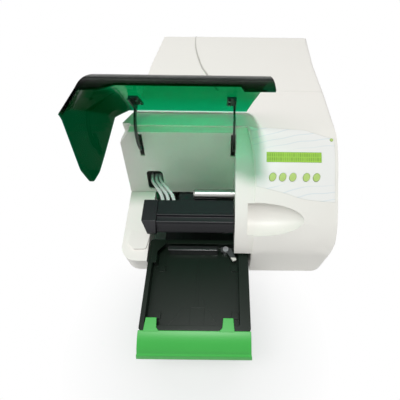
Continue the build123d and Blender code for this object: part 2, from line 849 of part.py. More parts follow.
# Brackets and pins that the arms swing on, behind the back wall
bracket_spots = (arm_left_x + arm_plate / 2 + moving_gap, arm_right_x - arm_plate / 2 - moving_gap - 4.0)

with BuildPart() as hinge_brackets:
    for spot, flange_from in zip(bracket_spots, (bracket_spots[0], bracket_spots[1] - 12.0)):
        with BuildSketch(Plane.YZ.offset(spot)):
            with Locations((hinge_y, hinge_z)):
                Circle(hub_radius)
            with Locations((hinge_y, ledge_z - wall)):
                Rectangle(2 * hub_radius, ledge_z - wall - hinge_z, align=(Align.CENTER, Align.MAX))
            with Locations((hinge_y, hinge_z)):
                Circle(hinge_pin_radius + running_gap, mode=Mode.SUBTRACT)
        extrude(amount=4.0)
        span(flange_from, flange_from + 16.0, hinge_y - 8.0, hinge_y + 9.0, ledge_z - wall - 2.5, ledge_z - wall)
hinge_brackets.part.label = "hinge_brackets"
export_step(hinge_brackets.part, "parts/hinge_brackets.step")

with BuildPart() as hinge_pins:
    for low, high, head_from in (
        (arm_left_x - arm_plate / 2 - face_gap, bracket_spots[0] + 4.0, arm_left_x - arm_plate / 2 - face_gap - 1.4),
        (bracket_spots[1], arm_right_x + arm_plate / 2 + face_gap, arm_right_x + arm_plate / 2 + face_gap),
    ):
        with BuildSketch(Plane.YZ.offset(low)):
            with Locations((hinge_y, hinge_z)):
                Circle(hinge_pin_radius)
        extrude(amount=high - low)
        with BuildSketch(Plane.YZ.offset(head_from)):
            with Locations((hinge_y, hinge_z)):
                Circle(hinge_pin_radius + 1.5)
        extrude(amount=1.4)
hinge_pins.part.label = "hinge_pins"
export_step(hinge_pins.part, "parts/hinge_pins.step")

# Plate carrier: tray, green front, plate stop, locator and clamp
with BuildPart() as plate_carrier:
    with BuildSketch(Plane.XY.offset(carrier_bottom)) as tray:
        with Locations(((carrier_left + carrier_right) / 2, (carrier_front + carrier_rear) / 2)):
            Rectangle(carrier_right - carrier_left, carrier_rear - carrier_front)
        fillet(tray.vertices(), 4.0)
    extrude(amount=carrier_top - carrier_bottom)
    fillet(plate_carrier.faces().sort_by(Axis.Z)[-1].edges(), 1.0)
    with BuildSketch(Plane.XY.offset(carrier_bottom + carrier_floor)) as pocket:
        with BuildLine():
            Polyline(
                (carrier_left + left_rim, carrier_front + end_rim),
                (carrier_right - right_rim, carrier_front + end_rim),
                (carrier_right - right_rim, carrier_rear - end_rim),
                (carrier_left + left_rim, carrier_rear - end_rim),
                close=True,
            )
        make_face()
        fillet(pocket.vertices(), 3.0)
    extrude(amount=carrier_top, mode=Mode.SUBTRACT)
    with BuildSketch(Plane.XY.offset(carrier_bottom + carrier_floor)):
        with Locations(*plate_corners):
            Rectangle(10.0, 10.0)
    extrude(amount=plate_rest)
    with BuildSketch(Plane.XY.offset(carrier_bottom)):
        with Locations((plate_centre_x, plate_centre_y)):
            with GridLocations(30.0, 1.0, 3, 1):
                SlotOverall(40.0, 8.0, rotation=90)
    extrude(amount=carrier_floor, mode=Mode.SUBTRACT)
    with BuildSketch(Plane.XY.offset(carrier_bottom)):
        with Locations((clamp_pivot_x, clamp_pivot_y)):
            Circle(clamp_post_radius)
    extrude(amount=carrier_floor, mode=Mode.SUBTRACT)
plate_carrier.part.label = "plate_carrier"
export_step(plate_carrier.part, "parts/plate_carrier.step")

with BuildPart() as carrier_front_panel:
    with BuildSketch(Plane.YZ.offset(carrier_left - 20.0)):
        with BuildLine():
            outer = Spline(front_curve)
            inner = Spline(inset_points(front_curve, -front_wall))
            Line(outer @ 1, inner @ 1)
            Line(inner @ 0, (carrier_front - front_wall, front_bottom))
            Line((carrier_front - front_wall, front_bottom), (carrier_front, front_bottom))
            Line((carrier_front, front_bottom), outer @ 0)
        make_face()
    extrude(amount=carrier_right - carrier_left + 40.0)
    with BuildSketch():
        with BuildLine():
            Polyline(
                (carrier_left, carrier_front),
                (carrier_left - lip_spread, lip_y - 3.0),
                (carrier_right + lip_spread, lip_y - 3.0),
                (carrier_right, carrier_front),
                close=True,
            )
        make_face()
    extrude(amount=100.0, mode=Mode.INTERSECT)
    with BuildSketch(Plane.XY.offset(carrier_top)):
        for tab_left, tab_right in front_tabs:
            with BuildLine():
                Polyline(
                    (tab_left - 2.0, carrier_front - 1.5),
                    (tab_left, tab_end_y),
                    (tab_right, tab_end_y),
                    (tab_right + 2.0, carrier_front - 1.5),
                    close=True,
                )
            make_face()
    extrude(amount=tab_thick)
carrier_front_panel.part.label = "carrier_front"
export_step(carrier_front_panel.part, "parts/carrier_front.step")

with BuildPart() as plate_stop:
    with BuildSketch(Plane.XY.offset(carrier_bottom + carrier_floor)) as stop:
        with Locations((clamp_pivot_x - clamp_spacing, stop_centre_y)):
            Rectangle(stop_length, stop_depth, align=(Align.MAX, Align.CENTER))
        fillet(stop.vertices(), 2.0)
    extrude(amount=stop_top - carrier_bottom - carrier_floor)
    fillet(plate_stop.faces().sort_by(Axis.Z)[-1].edges(), 1.5)
plate_stop.part.label = "plate_stop"
export_step(plate_stop.part, "parts/plate_stop.step")

with BuildPart() as locator_bracket:
    with BuildSketch(Plane.XY.offset(carrier_top)) as locator:
        with BuildLine():
            Polyline(
                (-116.0, -147.0),
                (-108.0, -147.0),
                (-108.0, -127.0),
                (-95.0, -113.0),
                (-95.0, -107.5),
                (-116.0, -107.5),
                close=True,
            )
        make_face()
        fillet(locator.vertices(), 2.0)
    extrude(amount=3.5)
    with BuildSketch(Plane.XY.offset(carrier_bottom + carrier_floor)):
        with Locations((-111.0, -137.0)):
            Rectangle(6.0, 16.0)
    extrude(amount=carrier_top - carrier_bottom - carrier_floor)
locator_bracket.part.label = "locator_bracket"
export_step(locator_bracket.part, "parts/locator_bracket.step")

with BuildPart() as plate_clamp:
    with BuildSketch(Plane.XY.offset(clamp_z)) as lever:
        with BuildLine():
            Polyline(
                (clamp_pivot_x - 8.0, clamp_pivot_y + 3.5),
                (clamp_pivot_x - 8.0, clamp_pivot_y - 3.5),
                (clamp_pivot_x + 3.0, clamp_pivot_y - 6.0),
                (clamp_pivot_x + 12.0, clamp_pivot_y - 20.0),
                (clamp_pivot_x + 18.0, clamp_pivot_y - 18.0),
                (clamp_pivot_x + 9.0, clamp_pivot_y + 1.0),
                (clamp_pivot_x + 2.0, clamp_pivot_y + 5.0),
                close=True,
            )
        make_face()
        fillet(lever.vertices(), 1.8)
    extrude(amount=clamp_thick)
    with BuildSketch(Plane.XY.offset(clamp_z)):
        with Locations((clamp_pivot_x, clamp_pivot_y)):
            Circle(clamp_post_radius + running_gap)
    extrude(amount=clamp_thick, mode=Mode.SUBTRACT)
plate_clamp.part.label = "plate_clamp"
export_step(plate_clamp.part, "parts/plate_clamp.step")

with BuildPart() as clamp_pivot:
    with BuildSketch(Plane.XY.offset(carrier_bottom)):
        with Locations((clamp_pivot_x, clamp_pivot_y)):
            Circle(clamp_post_radius)
    extrude(amount=clamp_z + clamp_thick + face_gap - carrier_bottom)
    with BuildSketch(Plane.XY.offset(carrier_bottom + carrier_floor)):
        with Locations((clamp_pivot_x, clamp_pivot_y)):
            Circle(clamp_post_radius + 2.5)
    extrude(amount=clamp_z - face_gap - carrier_bottom - carrier_floor)
    with BuildSketch(Plane.XY.offset(clamp_z + clamp_thick + face_gap)):
        with Locations((clamp_pivot_x, clamp_pivot_y)):
            Circle(clamp_post_radius + 2.0)
    extrude(amount=1.6)
clamp_pivot.part.label = "clamp_pivot"
export_step(clamp_pivot.part, "parts/clamp_pivot.step")

# Slide under the tray, its rods and the belt drive
slide_top = carrier_bottom
belt_run_x = belt_x + pulley_radius + belt_thick / 2
rod_places = (rod_left_x, rod_right_x)

with BuildPart() as carrier_slide:
    with BuildSketch(Plane.XY.offset(slide_top - slide_plate)) as slide:
        with Locations(((rod_left_x + rod_right_x) / 2, (slide_front + slide_rear) / 2)):
            Rectangle(rod_right_x - rod_left_x + 20.0, slide_rear - slide_front)
            Rectangle(rod_right_x - rod_left_x - 34.0, slide_rear - slide_front - 40.0, mode=Mode.SUBTRACT)
        fillet(slide.vertices(), 5.0)
    extrude(amount=slide_plate)
    for rod_x in rod_places:
        for bush_front in (slide_front + 2.0, slide_rear - 22.0):
            span(
                rod_x - 8.0, rod_x + 8.0, bush_front, bush_front + 20.0, rod_z - 6.0, slide_top - slide_plate
            )
    for rod_x in rod_places:
        with BuildSketch(Plane.XZ.offset(-slide_rear)):
            with Locations((rod_x, rod_z)):
                Circle(rod_radius + running_gap)
        extrude(amount=slide_rear - slide_front, mode=Mode.SUBTRACT)
    jaw_front = slide_rear - 20.0
    span(belt_run_x - 4.5, belt_run_x + 4.5, jaw_front, jaw_front + 14.0, belt_bottom, slide_top - slide_plate)
    span(
        belt_run_x - belt_thick / 2 - face_gap,
        belt_run_x + belt_thick / 2 + face_gap,
        jaw_front,
        jaw_front + 14.0,
        belt_bottom,
        belt_bottom + belt_height + face_gap,
        mode=Mode.SUBTRACT,
    )
carrier_slide.part.label = "carrier_slide"
export_step(carrier_slide.part, "parts/carrier_slide.step")

with BuildPart() as guide_rods:
    with BuildSketch(Plane.XZ.offset(-rod_rear)):
        with Locations(*[(x, rod_z) for x in rod_places]):
            Circle(rod_radius)
    extrude(amount=rod_rear - rod_front)
guide_rods.part.label = "guide_rods"
export_step(guide_rods.part, "parts/guide_rods.step")

with BuildPart() as rod_holders:
    for rod_x in rod_places:
        for holder_front in (rod_front, rod_rear - 8.0):
            span(rod_x - 7.0, rod_x + 7.0, holder_front, holder_front + 8.0, pan_top, rod_z + 5.5)
    with BuildSketch(Plane.XZ.offset(-rod_rear)):
        with Locations(*[(x, rod_z) for x in rod_places]):
            Circle(rod_radius + running_gap)
    extrude(amount=rod_rear - rod_front, mode=Mode.SUBTRACT)
rod_holders.part.label = "rod_holders"
export_step(rod_holders.part, "parts/rod_holders.step")

belt_top = belt_bottom + belt_height

with BuildPart() as drive_belt:
    with BuildSketch(Plane.XY.offset(belt_bottom)):
        with Locations((belt_x, (idler_y + motor_y) / 2)):
            SlotCenterToCenter(
                motor_y - idler_y, 2 * (pulley_radius + running_gap + belt_thick), rotation=90
            )
            SlotCenterToCenter(
                motor_y - idler_y, 2 * (pulley_radius + running_gap), rotation=90, mode=Mode.SUBTRACT
            )
    extrude(amount=belt_height)
drive_belt.part.label = "drive_belt"
export_step(drive_belt.part, "parts/drive_belt.step")


def pulley_solid(at_y, bore):
    """Flat belt pulley with two flanges, standing at at_y on the belt's line."""
    with BuildPart() as pulley:
        with BuildSketch(Plane.XY.offset(belt_bottom - 0.5)):
            with Locations((belt_x, at_y)):
                Circle(pulley_radius)
        extrude(amount=belt_height + 1.0)
        for flange_z in (belt_bottom - face_gap - 1.0, belt_top + face_gap):
            with BuildSketch(Plane.XY.offset(flange_z)):
                with Locations((belt_x, at_y)):
                    Circle(pulley_radius + 2.0)
            extrude(amount=1.0)
        if bore:
            with BuildSketch():
                with Locations((belt_x, at_y)):
                    Circle(bore)
            extrude(amount=100.0, mode=Mode.SUBTRACT)
    return pulley.part


with BuildPart() as idler_pulley:
    add(pulley_solid(idler_y, shaft_radius + running_gap))
idler_pulley.part.label = "idler_pulley"
export_step(idler_pulley.part, "parts/idler_pulley.step")

with BuildPart() as idler_bracket:
    with BuildSketch(Plane.XY.offset(pan_top)):
        with Locations((belt_x, idler_y)):
            Rectangle(24.0, 24.0)
    extrude(amount=belt_bottom - 2 * face_gap - 1.0 - pan_top)
    with BuildSketch(Plane.XY.offset(pan_top)):
        with Locations((belt_x, idler_y)):
            Circle(shaft_radius)
    extrude(amount=belt_top + 2.0 - pan_top)
idler_bracket.part.label = "idler_bracket"
export_step(idler_bracket.part, "parts/idler_bracket.step")

with BuildPart() as drive_pulley:
    add(pulley_solid(motor_y, 0.0))
    with BuildSketch(Plane.XY.offset(belt_bottom)):
        with Locations((belt_x, motor_y)):
            Circle(shaft_radius)
    extrude(amount=bracket_top + 6.0 - belt_bottom)
drive_pulley.part.label = "drive_pulley"
export_step(drive_pulley.part, "parts/drive_pulley.step")

with BuildPart() as motor_bracket:
    with BuildSketch(Plane.XY.offset(bracket_top - bracket_plate)):
        with Locations((belt_x, motor_y)):
            Rectangle(motor_size + 8.0, motor_size + 6.0)
            Circle(11.0 + face_gap, mode=Mode.SUBTRACT)
    extrude(amount=bracket_plate)
    for side_x in (belt_x - motor_size / 2 - 4.0, belt_x + motor_size / 2 + 1.0):
        span(side_x, side_x + 3.0, motor_y - 24.0, motor_y + 24.0, pan_top, bracket_top - bracket_plate)
motor_bracket.part.label = "motor_bracket"
export_step(motor_bracket.part, "parts/motor_bracket.step")


def motor_solid(centre_x, centre_y, low_z, boss_z, shaft):
    """Square stepper motor with its round boss and its shaft's bore."""
    with BuildPart() as motor:
        with BuildSketch(Plane.XY.offset(low_z)) as body:
            with Locations((centre_x, centre_y)):
                Rectangle(motor_size, motor_size)
            chamfer(body.vertices(), 4.0)
        extrude(amount=motor_height)
        with BuildSketch(Plane.XY.offset(boss_z)):
            with Locations((centre_x, centre_y)):
                Circle(11.0)
        extrude(amount=2.0)
        with BuildSketch(Plane.XY.offset(low_z - 10.0)):
            with Locations((centre_x, centre_y)):
                Circle(shaft)
        extrude(amount=motor_height + 20.0, mode=Mode.SUBTRACT)
    return motor.part


with BuildPart() as drive_motor:
    add(motor_solid(belt_x, motor_y, bracket_top, bracket_top - 2.0, shaft_radius + running_gap))
drive_motor.part.label = "drive_motor"
export_step(drive_motor.part, "parts/drive_motor.step")

# Wash head, its needles and the arm that carries it
with BuildPart() as wash_head:
    with BuildSketch(Plane.YZ.offset(head_left)) as bar:
        with BuildLine():
            Polyline(
                (head_rear_y, head_bottom),
                (head_rear_y, head_top - 3.0),
                (head_rear_y - 3.0, head_top),
                (-86.0, head_top),
                (-87.0, head_top - 1.5),
                (-89.0, head_top - 1.5),
                (-90.0, head_top - 0.3),
                (-99.0, head_top - 1.5),
                (-103.0, 93.5),
                (-110.0, 90.0),
                (-113.0, 87.0),
                (-113.0, head_bottom),
                close=True,
            )
        make_face()
    extrude(amount=head_right - head_left)
    with BuildSketch(Plane.XY.offset(head_bottom)):
        with Locations((plate_centre_x, needle_row_y)):
            with GridLocations(well_pitch, needle_row_gap, channels, 2):
                Circle(needle_radius)
    extrude(amount=needle_seat, mode=Mode.SUBTRACT)
wash_head.part.label = "wash_head"
export_step(wash_head.part, "parts/wash_head.step")

with BuildPart() as head_end_cap:
    with BuildSketch(Plane.YZ.offset(head_left)):
        with BuildLine():
            Polyline(
                (head_rear_y + 1.0, head_bottom - 2.0),
                (head_rear_y + 1.0, head_top - 4.0),
                (head_rear_y - 3.0, head_top + 0.5),
                (-99.0, head_top - 1.0),
                (-110.0, 91.0),
                (-114.0, 87.0),
                (-114.0, 82.0),
                (-109.0, head_bottom - 2.0),
                close=True,
            )
        make_face()
    extrude(amount=-cap_length)
    with BuildSketch(Plane.XZ.offset(200.0)):
        with BuildLine():
            Polyline(
                (head_left - cap_length - 1.0, 60.0),
                (head_left - cap_length - 1.0, 90.0),
                (head_left - cap_length, 90.0),
                (head_left - cap_length + 8.0, head_bottom - 2.0),
                (head_left - cap_length + 8.0, 60.0),
                close=True,
            )
        make_face()
    extrude(amount=-200.0, mode=Mode.SUBTRACT)
head_end_cap.part.label = "head_end_cap"
export_step(head_end_cap.part, "parts/head_end_cap.step")

for row_name, row_side, row_bottom in (("dispense_tubes", -1, needle_bottom + 3.0), ("aspirate_tubes", 1, needle_bottom)):
    with BuildPart() as needles:
        with BuildSketch(Plane.XY.offset(row_bottom)):
            with Locations((plate_centre_x, needle_row_y + row_side * needle_row_gap / 2)):
                with GridLocations(well_pitch, 1.0, channels, 1):
                    Circle(needle_radius)
        extrude(amount=head_bottom + needle_seat - row_bottom)
    needles.part.label = row_name
    export_step(needles.part, f"parts/{row_name}.step")

fitting_places = [(fitting_first_x + fitting_pitch * i, fitting_z) for i in range(fitting_count)]

with BuildPart() as head_fittings:
    with BuildSketch(Plane.XZ.offset(-head_rear_y)):
        with Locations(*fitting_places):
            Circle(fitting_radius)
    extrude(amount=-fitting_length)
    with BuildSketch(Plane.XZ.offset(-head_rear_y)):
        with Locations(*fitting_places):
            RegularPolygon(fitting_radius + 1.0, 6)
    extrude(amount=-3.0)
head_fittings.part.label = "head_fittings"
export_step(head_fittings.part, "parts/head_fittings.step")

with BuildPart() as lift_arm:
    with BuildSketch(Plane.YZ.offset(arm_tip_x)):
        with Locations((arm_y, arm_z)):
            Circle(arm_radius)
    extrude(amount=carriage_left + 24.0 - arm_tip_x)
    fillet(lift_arm.faces().sort_by(Axis.X)[0].edges(), 4.0)
lift_arm.part.label = "lift_arm"
export_step(lift_arm.part, "parts/lift_arm.step")

with BuildPart() as arm_bracket:
    span(-76.0, -14.0, head_rear_y, head_rear_y + 5.0, head_bottom + 3.0, head_top - 4.0)
    with BuildSketch(Plane.YZ.offset(-46.0)) as clamp_side:
        with BuildLine():
            Polyline(
                (head_rear_y + 2.0, arm_z - 9.0),
                (arm_y, arm_z - 12.0),
                (arm_y + 12.0, arm_z - 6.0),
                (arm_y + 12.0, arm_z + 6.0),
                (arm_y, arm_z + 12.0),
                (head_rear_y + 2.0, head_top - 5.0),
                close=True,
            )
        make_face()
    extrude(amount=32.0)
    with BuildSketch(Plane.YZ.offset(-60.0)):
        with Locations((arm_y, arm_z)):
            Circle(arm_radius + running_gap)
    extrude(amount=80.0, mode=Mode.SUBTRACT)
arm_bracket.part.label = "arm_bracket"
export_step(arm_bracket.part, "parts/arm_bracket.step")

# Lift in the console: carriage on two rods, raised by a lead screw
rod_ys = (lift_screw_y - lift_rod_spacing, lift_screw_y + lift_rod_spacing)

with BuildPart() as lift_carriage:
    span(carriage_left, carriage_right, -62.0, -6.0, carriage_bottom, carriage_top)
    with BuildSketch(Plane.YZ.offset(carriage_left)):
        with Locations((arm_y, arm_z)):
            Circle(arm_radius + running_gap)
    extrude(amount=24.0, mode=Mode.SUBTRACT)
    with BuildSketch(Plane.XY.offset(carriage_bottom)):
        with Locations(*[(lift_x, y) for y in rod_ys], (lift_x, lift_screw_y)):
            Circle(lift_rod_radius + running_gap)
    extrude(amount=carriage_top, mode=Mode.SUBTRACT)
lift_carriage.part.label = "lift_carriage"
export_step(lift_carriage.part, "parts/lift_carriage.step")

with BuildPart() as lift_frame:
    span(frame_back_x - lift_plate, frame_back_x, -60.0, -6.0, pan_top, lift_top_z)
    span(carriage_left + 12.0, frame_back_x, -60.0, -6.0, lift_base_z - lift_plate, lift_base_z)
    span(lift_x - 10.0, frame_back_x, -60.0, -6.0, lift_top_z - lift_plate, lift_top_z)
    with BuildSketch(Plane.XY.offset(pan_top)):
        with Locations(*[(lift_x, y) for y in rod_ys], (lift_x, lift_screw_y)):
            Circle(lift_rod_radius + running_gap)
    extrude(amount=lift_top_z, mode=Mode.SUBTRACT)
    with BuildSketch(Plane.XY.offset(pan_top)):
        with Locations((lift_x, lift_screw_y)):
            Circle(11.0 + face_gap)
    extrude(amount=lift_base_z - pan_top, mode=Mode.SUBTRACT)
lift_frame.part.label = "lift_frame"
export_step(lift_frame.part, "parts/lift_frame.step")

with BuildPart() as lift_rods:
    with BuildSketch(Plane.XY.offset(lift_base_z - lift_plate)):
        with Locations(*[(lift_x, y) for y in rod_ys]):
            Circle(lift_rod_radius)
    extrude(amount=lift_top_z - lift_base_z + lift_plate)
lift_rods.part.label = "lift_rods"
export_step(lift_rods.part, "parts/lift_rods.step")

motor_top = lift_base_z - lift_plate

with BuildPart() as lift_motor:
    add(motor_solid(lift_x, lift_screw_y, motor_top - motor_height, motor_top, shaft_radius + running_gap))
lift_motor.part.label = "lift_motor"
export_step(lift_motor.part, "parts/lift_motor.step")

with BuildPart() as lift_screw:
    with BuildSketch(Plane.XY.offset(motor_top + 2.0 + face_gap)):
        with Locations((lift_x, lift_screw_y)):
            Circle(lift_rod_radius)
    extrude(amount=lift_top_z - motor_top - 2.0 - face_gap)
    with BuildSketch(Plane.XY.offset(motor_top - 8.0)):
        with Locations((lift_x, lift_screw_y)):
            Circle(shaft_radius)
    extrude(amount=14.0)
lift_screw.part.label = "lift_screw"
export_step(lift_screw.part, "parts/lift_screw.step")

# Tubing from the hole in the back wall to the head's fittings
with BuildPart() as tubing:
    for i, (fitting_x, fitting_height) in enumerate(fitting_places):
        start = Vector(hole_left + 6.5 + tube_pitch * i, 8.0, tube_start_z)
        end = Vector(fitting_x, head_rear_y + fitting_length, fitting_height)
        across = Vector(end.X - start.X, 0.0, end.Z - start.Z)
        tube_plane = Plane(start, Vector(0, -1, 0), Vector(0, -1, 0).cross(across.normalized()))
        with BuildLine(tube_plane) as route:
            FilletPolyline(
                (0.0, 0.0),
                (tube_straight, 0.0),
                (start.Y - end.Y - tube_lead, across.length),
                (start.Y - end.Y, across.length),
                radius=tube_bend,
            )
        with BuildSketch(Plane(start, z_dir=(0, -1, 0))):
            Circle(tube_radius)
        sweep(path=route.line)
tubing.part.label = "tubing"
export_step(tubing.part, "parts/tubing.step")

# Electronics, pumps and rear connections
with BuildPart() as main_board:
    with BuildSketch(Plane.XY.offset(board_z)):
        with Locations((137.0, 20.0)):
            Rectangle(46.0, 160.0)
    extrude(amount=board_thick)
    with BuildSketch(Plane.XY.offset(pan_top)):
        with Locations((137.0, 20.0)):
            with GridLocations(36.0, 148.0, 2, 2):
                Circle(3.0)
    extrude(amount=board_z - pan_top)
    with BuildSketch(Plane.XY.offset(board_z + board_thick)):
        with Locations((137.0, -20.0), (137.0, 30.0)):
            Rectangle(20.0, 20.0)
        with Locations((137.0, 85.0)):
            Rectangle(36.0, 12.0)
    extrude(amount=4.0)
main_board.part.label = "main_board"
export_step(main_board.part, "parts/main_board.step")

with BuildPart() as power_supply:
    span(60.0, 145.0, 130.0, 240.0, pan_top, pan_top + 42.0)
    span(70.0, 100.0, 122.0, 130.0, pan_top, pan_top + 18.0)
power_supply.part.label = "power_supply"
export_step(power_supply.part, "parts/power_supply.step")

with BuildPart() as dispense_pump:
    span(-8.0, 44.0, 195.0, 255.0, pan_top, pan_top + 6.0)
    with BuildSketch(Plane.XZ.offset(-190.0)):
        with Locations((18.0, pan_top + 28.0)):
            Circle(24.0)
    extrude(amount=-40.0)
    with BuildSketch(Plane.XZ.offset(-230.0)):
        with Locations((18.0, pan_top + 28.0)):
            Circle(18.0)
    extrude(amount=-28.0)
dispense_pump.part.label = "dispense_pump"
export_step(dispense_pump.part, "parts/dispense_pump.step")

with BuildPart() as vacuum_pump:
    span(-110.0, -50.0, 196.0, 260.0, pan_top, pan_top + 50.0)
    with BuildSketch(Plane.XY.offset(pan_top + 50.0)):
        with Locations((-80.0, 228.0)):
            Circle(24.0)
    extrude(amount=22.0)
vacuum_pump.part.label = "vacuum_pump"
export_step(vacuum_pump.part, "parts/vacuum_pump.step")

with BuildPart() as valves:
    span(-124.0, -104.0, 122.0, 186.0, pan_top, pan_top + 14.0)
    with BuildSketch(Plane.XY.offset(pan_top + 14.0)):
        with Locations(*[(-114.0, y) for y in (134.0, 154.0, 174.0)]):
            Circle(8.0)
    extrude(amount=28.0)
valves.part.label = "valves"
export_step(valves.part, "parts/valves.step")

with BuildPart() as power_inlet:
    with Locations((inlet_x, housing_rear - 9.0, inlet_z)):
        Box(inlet_width - 2 * face_gap, 18.0, inlet_height - 2 * face_gap)
    with Locations((inlet_x, housing_rear - 2.0, inlet_z)):
        Box(inlet_width - 5.0, 14.0, inlet_height - 5.0, mode=Mode.SUBTRACT)
    with Locations((inlet_x, housing_rear - 6.0, inlet_z + 2.0), (inlet_x - 7.0, housing_rear - 6.0, inlet_z - 2.0)):
        Box(2.0, 8.0, 4.0)
    with Locations((inlet_x + 7.0, housing_rear - 6.0, inlet_z - 2.0)):
        Box(2.0, 8.0, 4.0)
power_inlet.part.label = "power_inlet"
export_step(power_inlet.part, "parts/power_inlet.step")

with BuildPart() as switch_frame:
    with Locations((switch_x, housing_rear - 9.0, inlet_z)):
        Box(switch_width - 2 * face_gap, 18.0, switch_height - 2 * face_gap)
    with Locations((switch_x, housing_rear - 4.0, inlet_z)):
        Box(switch_width - 2 * face_gap - 2.0, 14.0, switch_height - 2 * face_gap - 2.0, mode=Mode.SUBTRACT)
switch_frame.part.label = "switch_frame"
export_step(switch_frame.part, "parts/switch_frame.step")

rocker_height = switch_height - 2 * face_gap - 4.0

with BuildPart() as rocker_level:
    with BuildSketch(Plane.YZ.offset(switch_x - switch_width / 2 + 2.0 + face_gap)):
        with BuildLine():
            Polyline(
                (housing_rear - rocker_depth - rocker_hub, inlet_z),
                (housing_rear - 4.0, inlet_z + rocker_height / 2),
                (housing_rear + 0.5, inlet_z + rocker_height / 2),
                (housing_rear - 1.0, inlet_z),
                (housing_rear + 0.5, inlet_z - rocker_height / 2),
                (housing_rear - 4.0, inlet_z - rocker_height / 2),
                close=True,
            )
        make_face()
        with Locations((housing_rear - rocker_depth, inlet_z)):
            Circle(rocker_hub)
    extrude(amount=switch_width - 4.0 - 2 * face_gap)

rocker_axis = Axis((0.0, housing_rear - rocker_depth, inlet_z), (1, 0, 0))

with BuildPart() as power_switch:
    add(rocker_level.part.rotate(rocker_axis, -switch_tilt))
power_switch.part.label = "power_switch"
export_step(power_switch.part, "parts/power_switch.step")

with BuildPart() as rear_ports:
    with BuildSketch(Plane.XZ.offset(wall + 6.0 - housing_rear)):
        with Locations(*[(x, port_z) for x in port_places]):
            Circle(port_radius + 2.0)
    extrude(amount=-6.0 + face_gap)
    with BuildSketch(Plane.XZ.offset(wall + 6.0 - housing_rear)):
        with Locations(*[(x, port_z) for x in port_places]):
            Circle(port_radius)
    extrude(amount=-6.0 - wall - port_proud)
rear_ports.part.label = "rear_ports"
export_step(rear_ports.part, "parts/rear_ports.step")
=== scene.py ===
import math

import bmesh
import bpy
from mathutils import Matrix, Vector


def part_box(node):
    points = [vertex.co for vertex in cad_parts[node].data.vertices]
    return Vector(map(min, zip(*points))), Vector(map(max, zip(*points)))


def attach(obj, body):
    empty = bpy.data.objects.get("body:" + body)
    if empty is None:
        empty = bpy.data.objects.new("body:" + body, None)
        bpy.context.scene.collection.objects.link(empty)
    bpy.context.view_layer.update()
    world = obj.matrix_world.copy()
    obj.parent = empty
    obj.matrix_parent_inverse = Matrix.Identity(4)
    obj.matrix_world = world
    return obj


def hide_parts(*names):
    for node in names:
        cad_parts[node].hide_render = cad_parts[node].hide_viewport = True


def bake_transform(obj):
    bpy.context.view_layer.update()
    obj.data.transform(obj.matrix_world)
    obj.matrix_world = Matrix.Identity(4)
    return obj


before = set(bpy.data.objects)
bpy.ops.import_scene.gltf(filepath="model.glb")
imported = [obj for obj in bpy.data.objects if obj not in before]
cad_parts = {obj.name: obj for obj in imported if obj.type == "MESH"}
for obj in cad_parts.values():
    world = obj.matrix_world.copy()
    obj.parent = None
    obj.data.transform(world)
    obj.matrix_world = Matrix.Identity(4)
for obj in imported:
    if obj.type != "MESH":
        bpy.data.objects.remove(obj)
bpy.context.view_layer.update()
scene = bpy.context.scene
scene.view_settings.view_transform = "Standard"

# Camera: held in the hand over the front edge of the bench and looking steeply down,
# so the top of the lid comes near the lens and the feet fall away.
eye = Vector((-0.00783, -0.3155, 0.50542))
down = math.radians(57.96)
turn = math.radians(0.22)
tilt = math.radians(0.89)
ahead = Vector((math.sin(turn) * math.cos(down), math.cos(turn) * math.cos(down), -math.sin(down)))
level = Vector((math.cos(turn), -math.sin(turn), 0.0))
over = level.cross(ahead)
side = math.cos(tilt) * level + math.sin(tilt) * over
up = -math.sin(tilt) * level + math.cos(tilt) * over
picture_pixels = 400.0
focal_pixels = 302.36
middle_pixel = 220.9
lens = bpy.data.cameras.new("camera")
lens.sensor_width = 36.0
lens.lens = lens.sensor_width * focal_pixels / picture_pixels
lens.shift_x = (picture_pixels / 2.0 - middle_pixel) / picture_pixels
lens.clip_start = 0.02
camera = bpy.data.objects.new("camera", lens)
camera.matrix_world = Matrix((
    (side.x, up.x, -ahead.x, eye.x),
    (side.y, up.y, -ahead.y, eye.y),
    (side.z, up.z, -ahead.z, eye.z),
    (0.0, 0.0, 0.0, 1.0),
))
scene.collection.objects.link(camera)
scene.camera = camera

# Studio: a white table and a white surround. The surround is white to the camera and in
# reflections but lights the object less. The table glows to the camera, except near the
# carrier's front lip, where it keeps its shadow.
surround = bpy.data.worlds.new("white surround")
scene.world = surround
surround.use_nodes = True
nodes = surround.node_tree.nodes
links = surround.node_tree.links
path = nodes.new("ShaderNodeLightPath")
seen = nodes.new("ShaderNodeMath")
seen.operation = "MAXIMUM"
links.new(path.outputs["Is Camera Ray"], seen.inputs[0])
links.new(path.outputs["Is Transmission Ray"], seen.inputs[1])
shiny = nodes.new("ShaderNodeMath")
shiny.operation = "MAXIMUM"
links.new(seen.outputs[0], shiny.inputs[0])
links.new(path.outputs["Is Glossy Ray"], shiny.inputs[1])
level_mix = nodes.new("ShaderNodeMapRange")
level_mix.inputs["To Min"].default_value = 0.28
level_mix.inputs["To Max"].default_value = 1.0
links.new(shiny.outputs[0], level_mix.inputs["Value"])
nodes["Background"].inputs["Color"].default_value = (1.0, 1.0, 1.0, 1.0)
links.new(level_mix.outputs[0], nodes["Background"].inputs["Strength"])

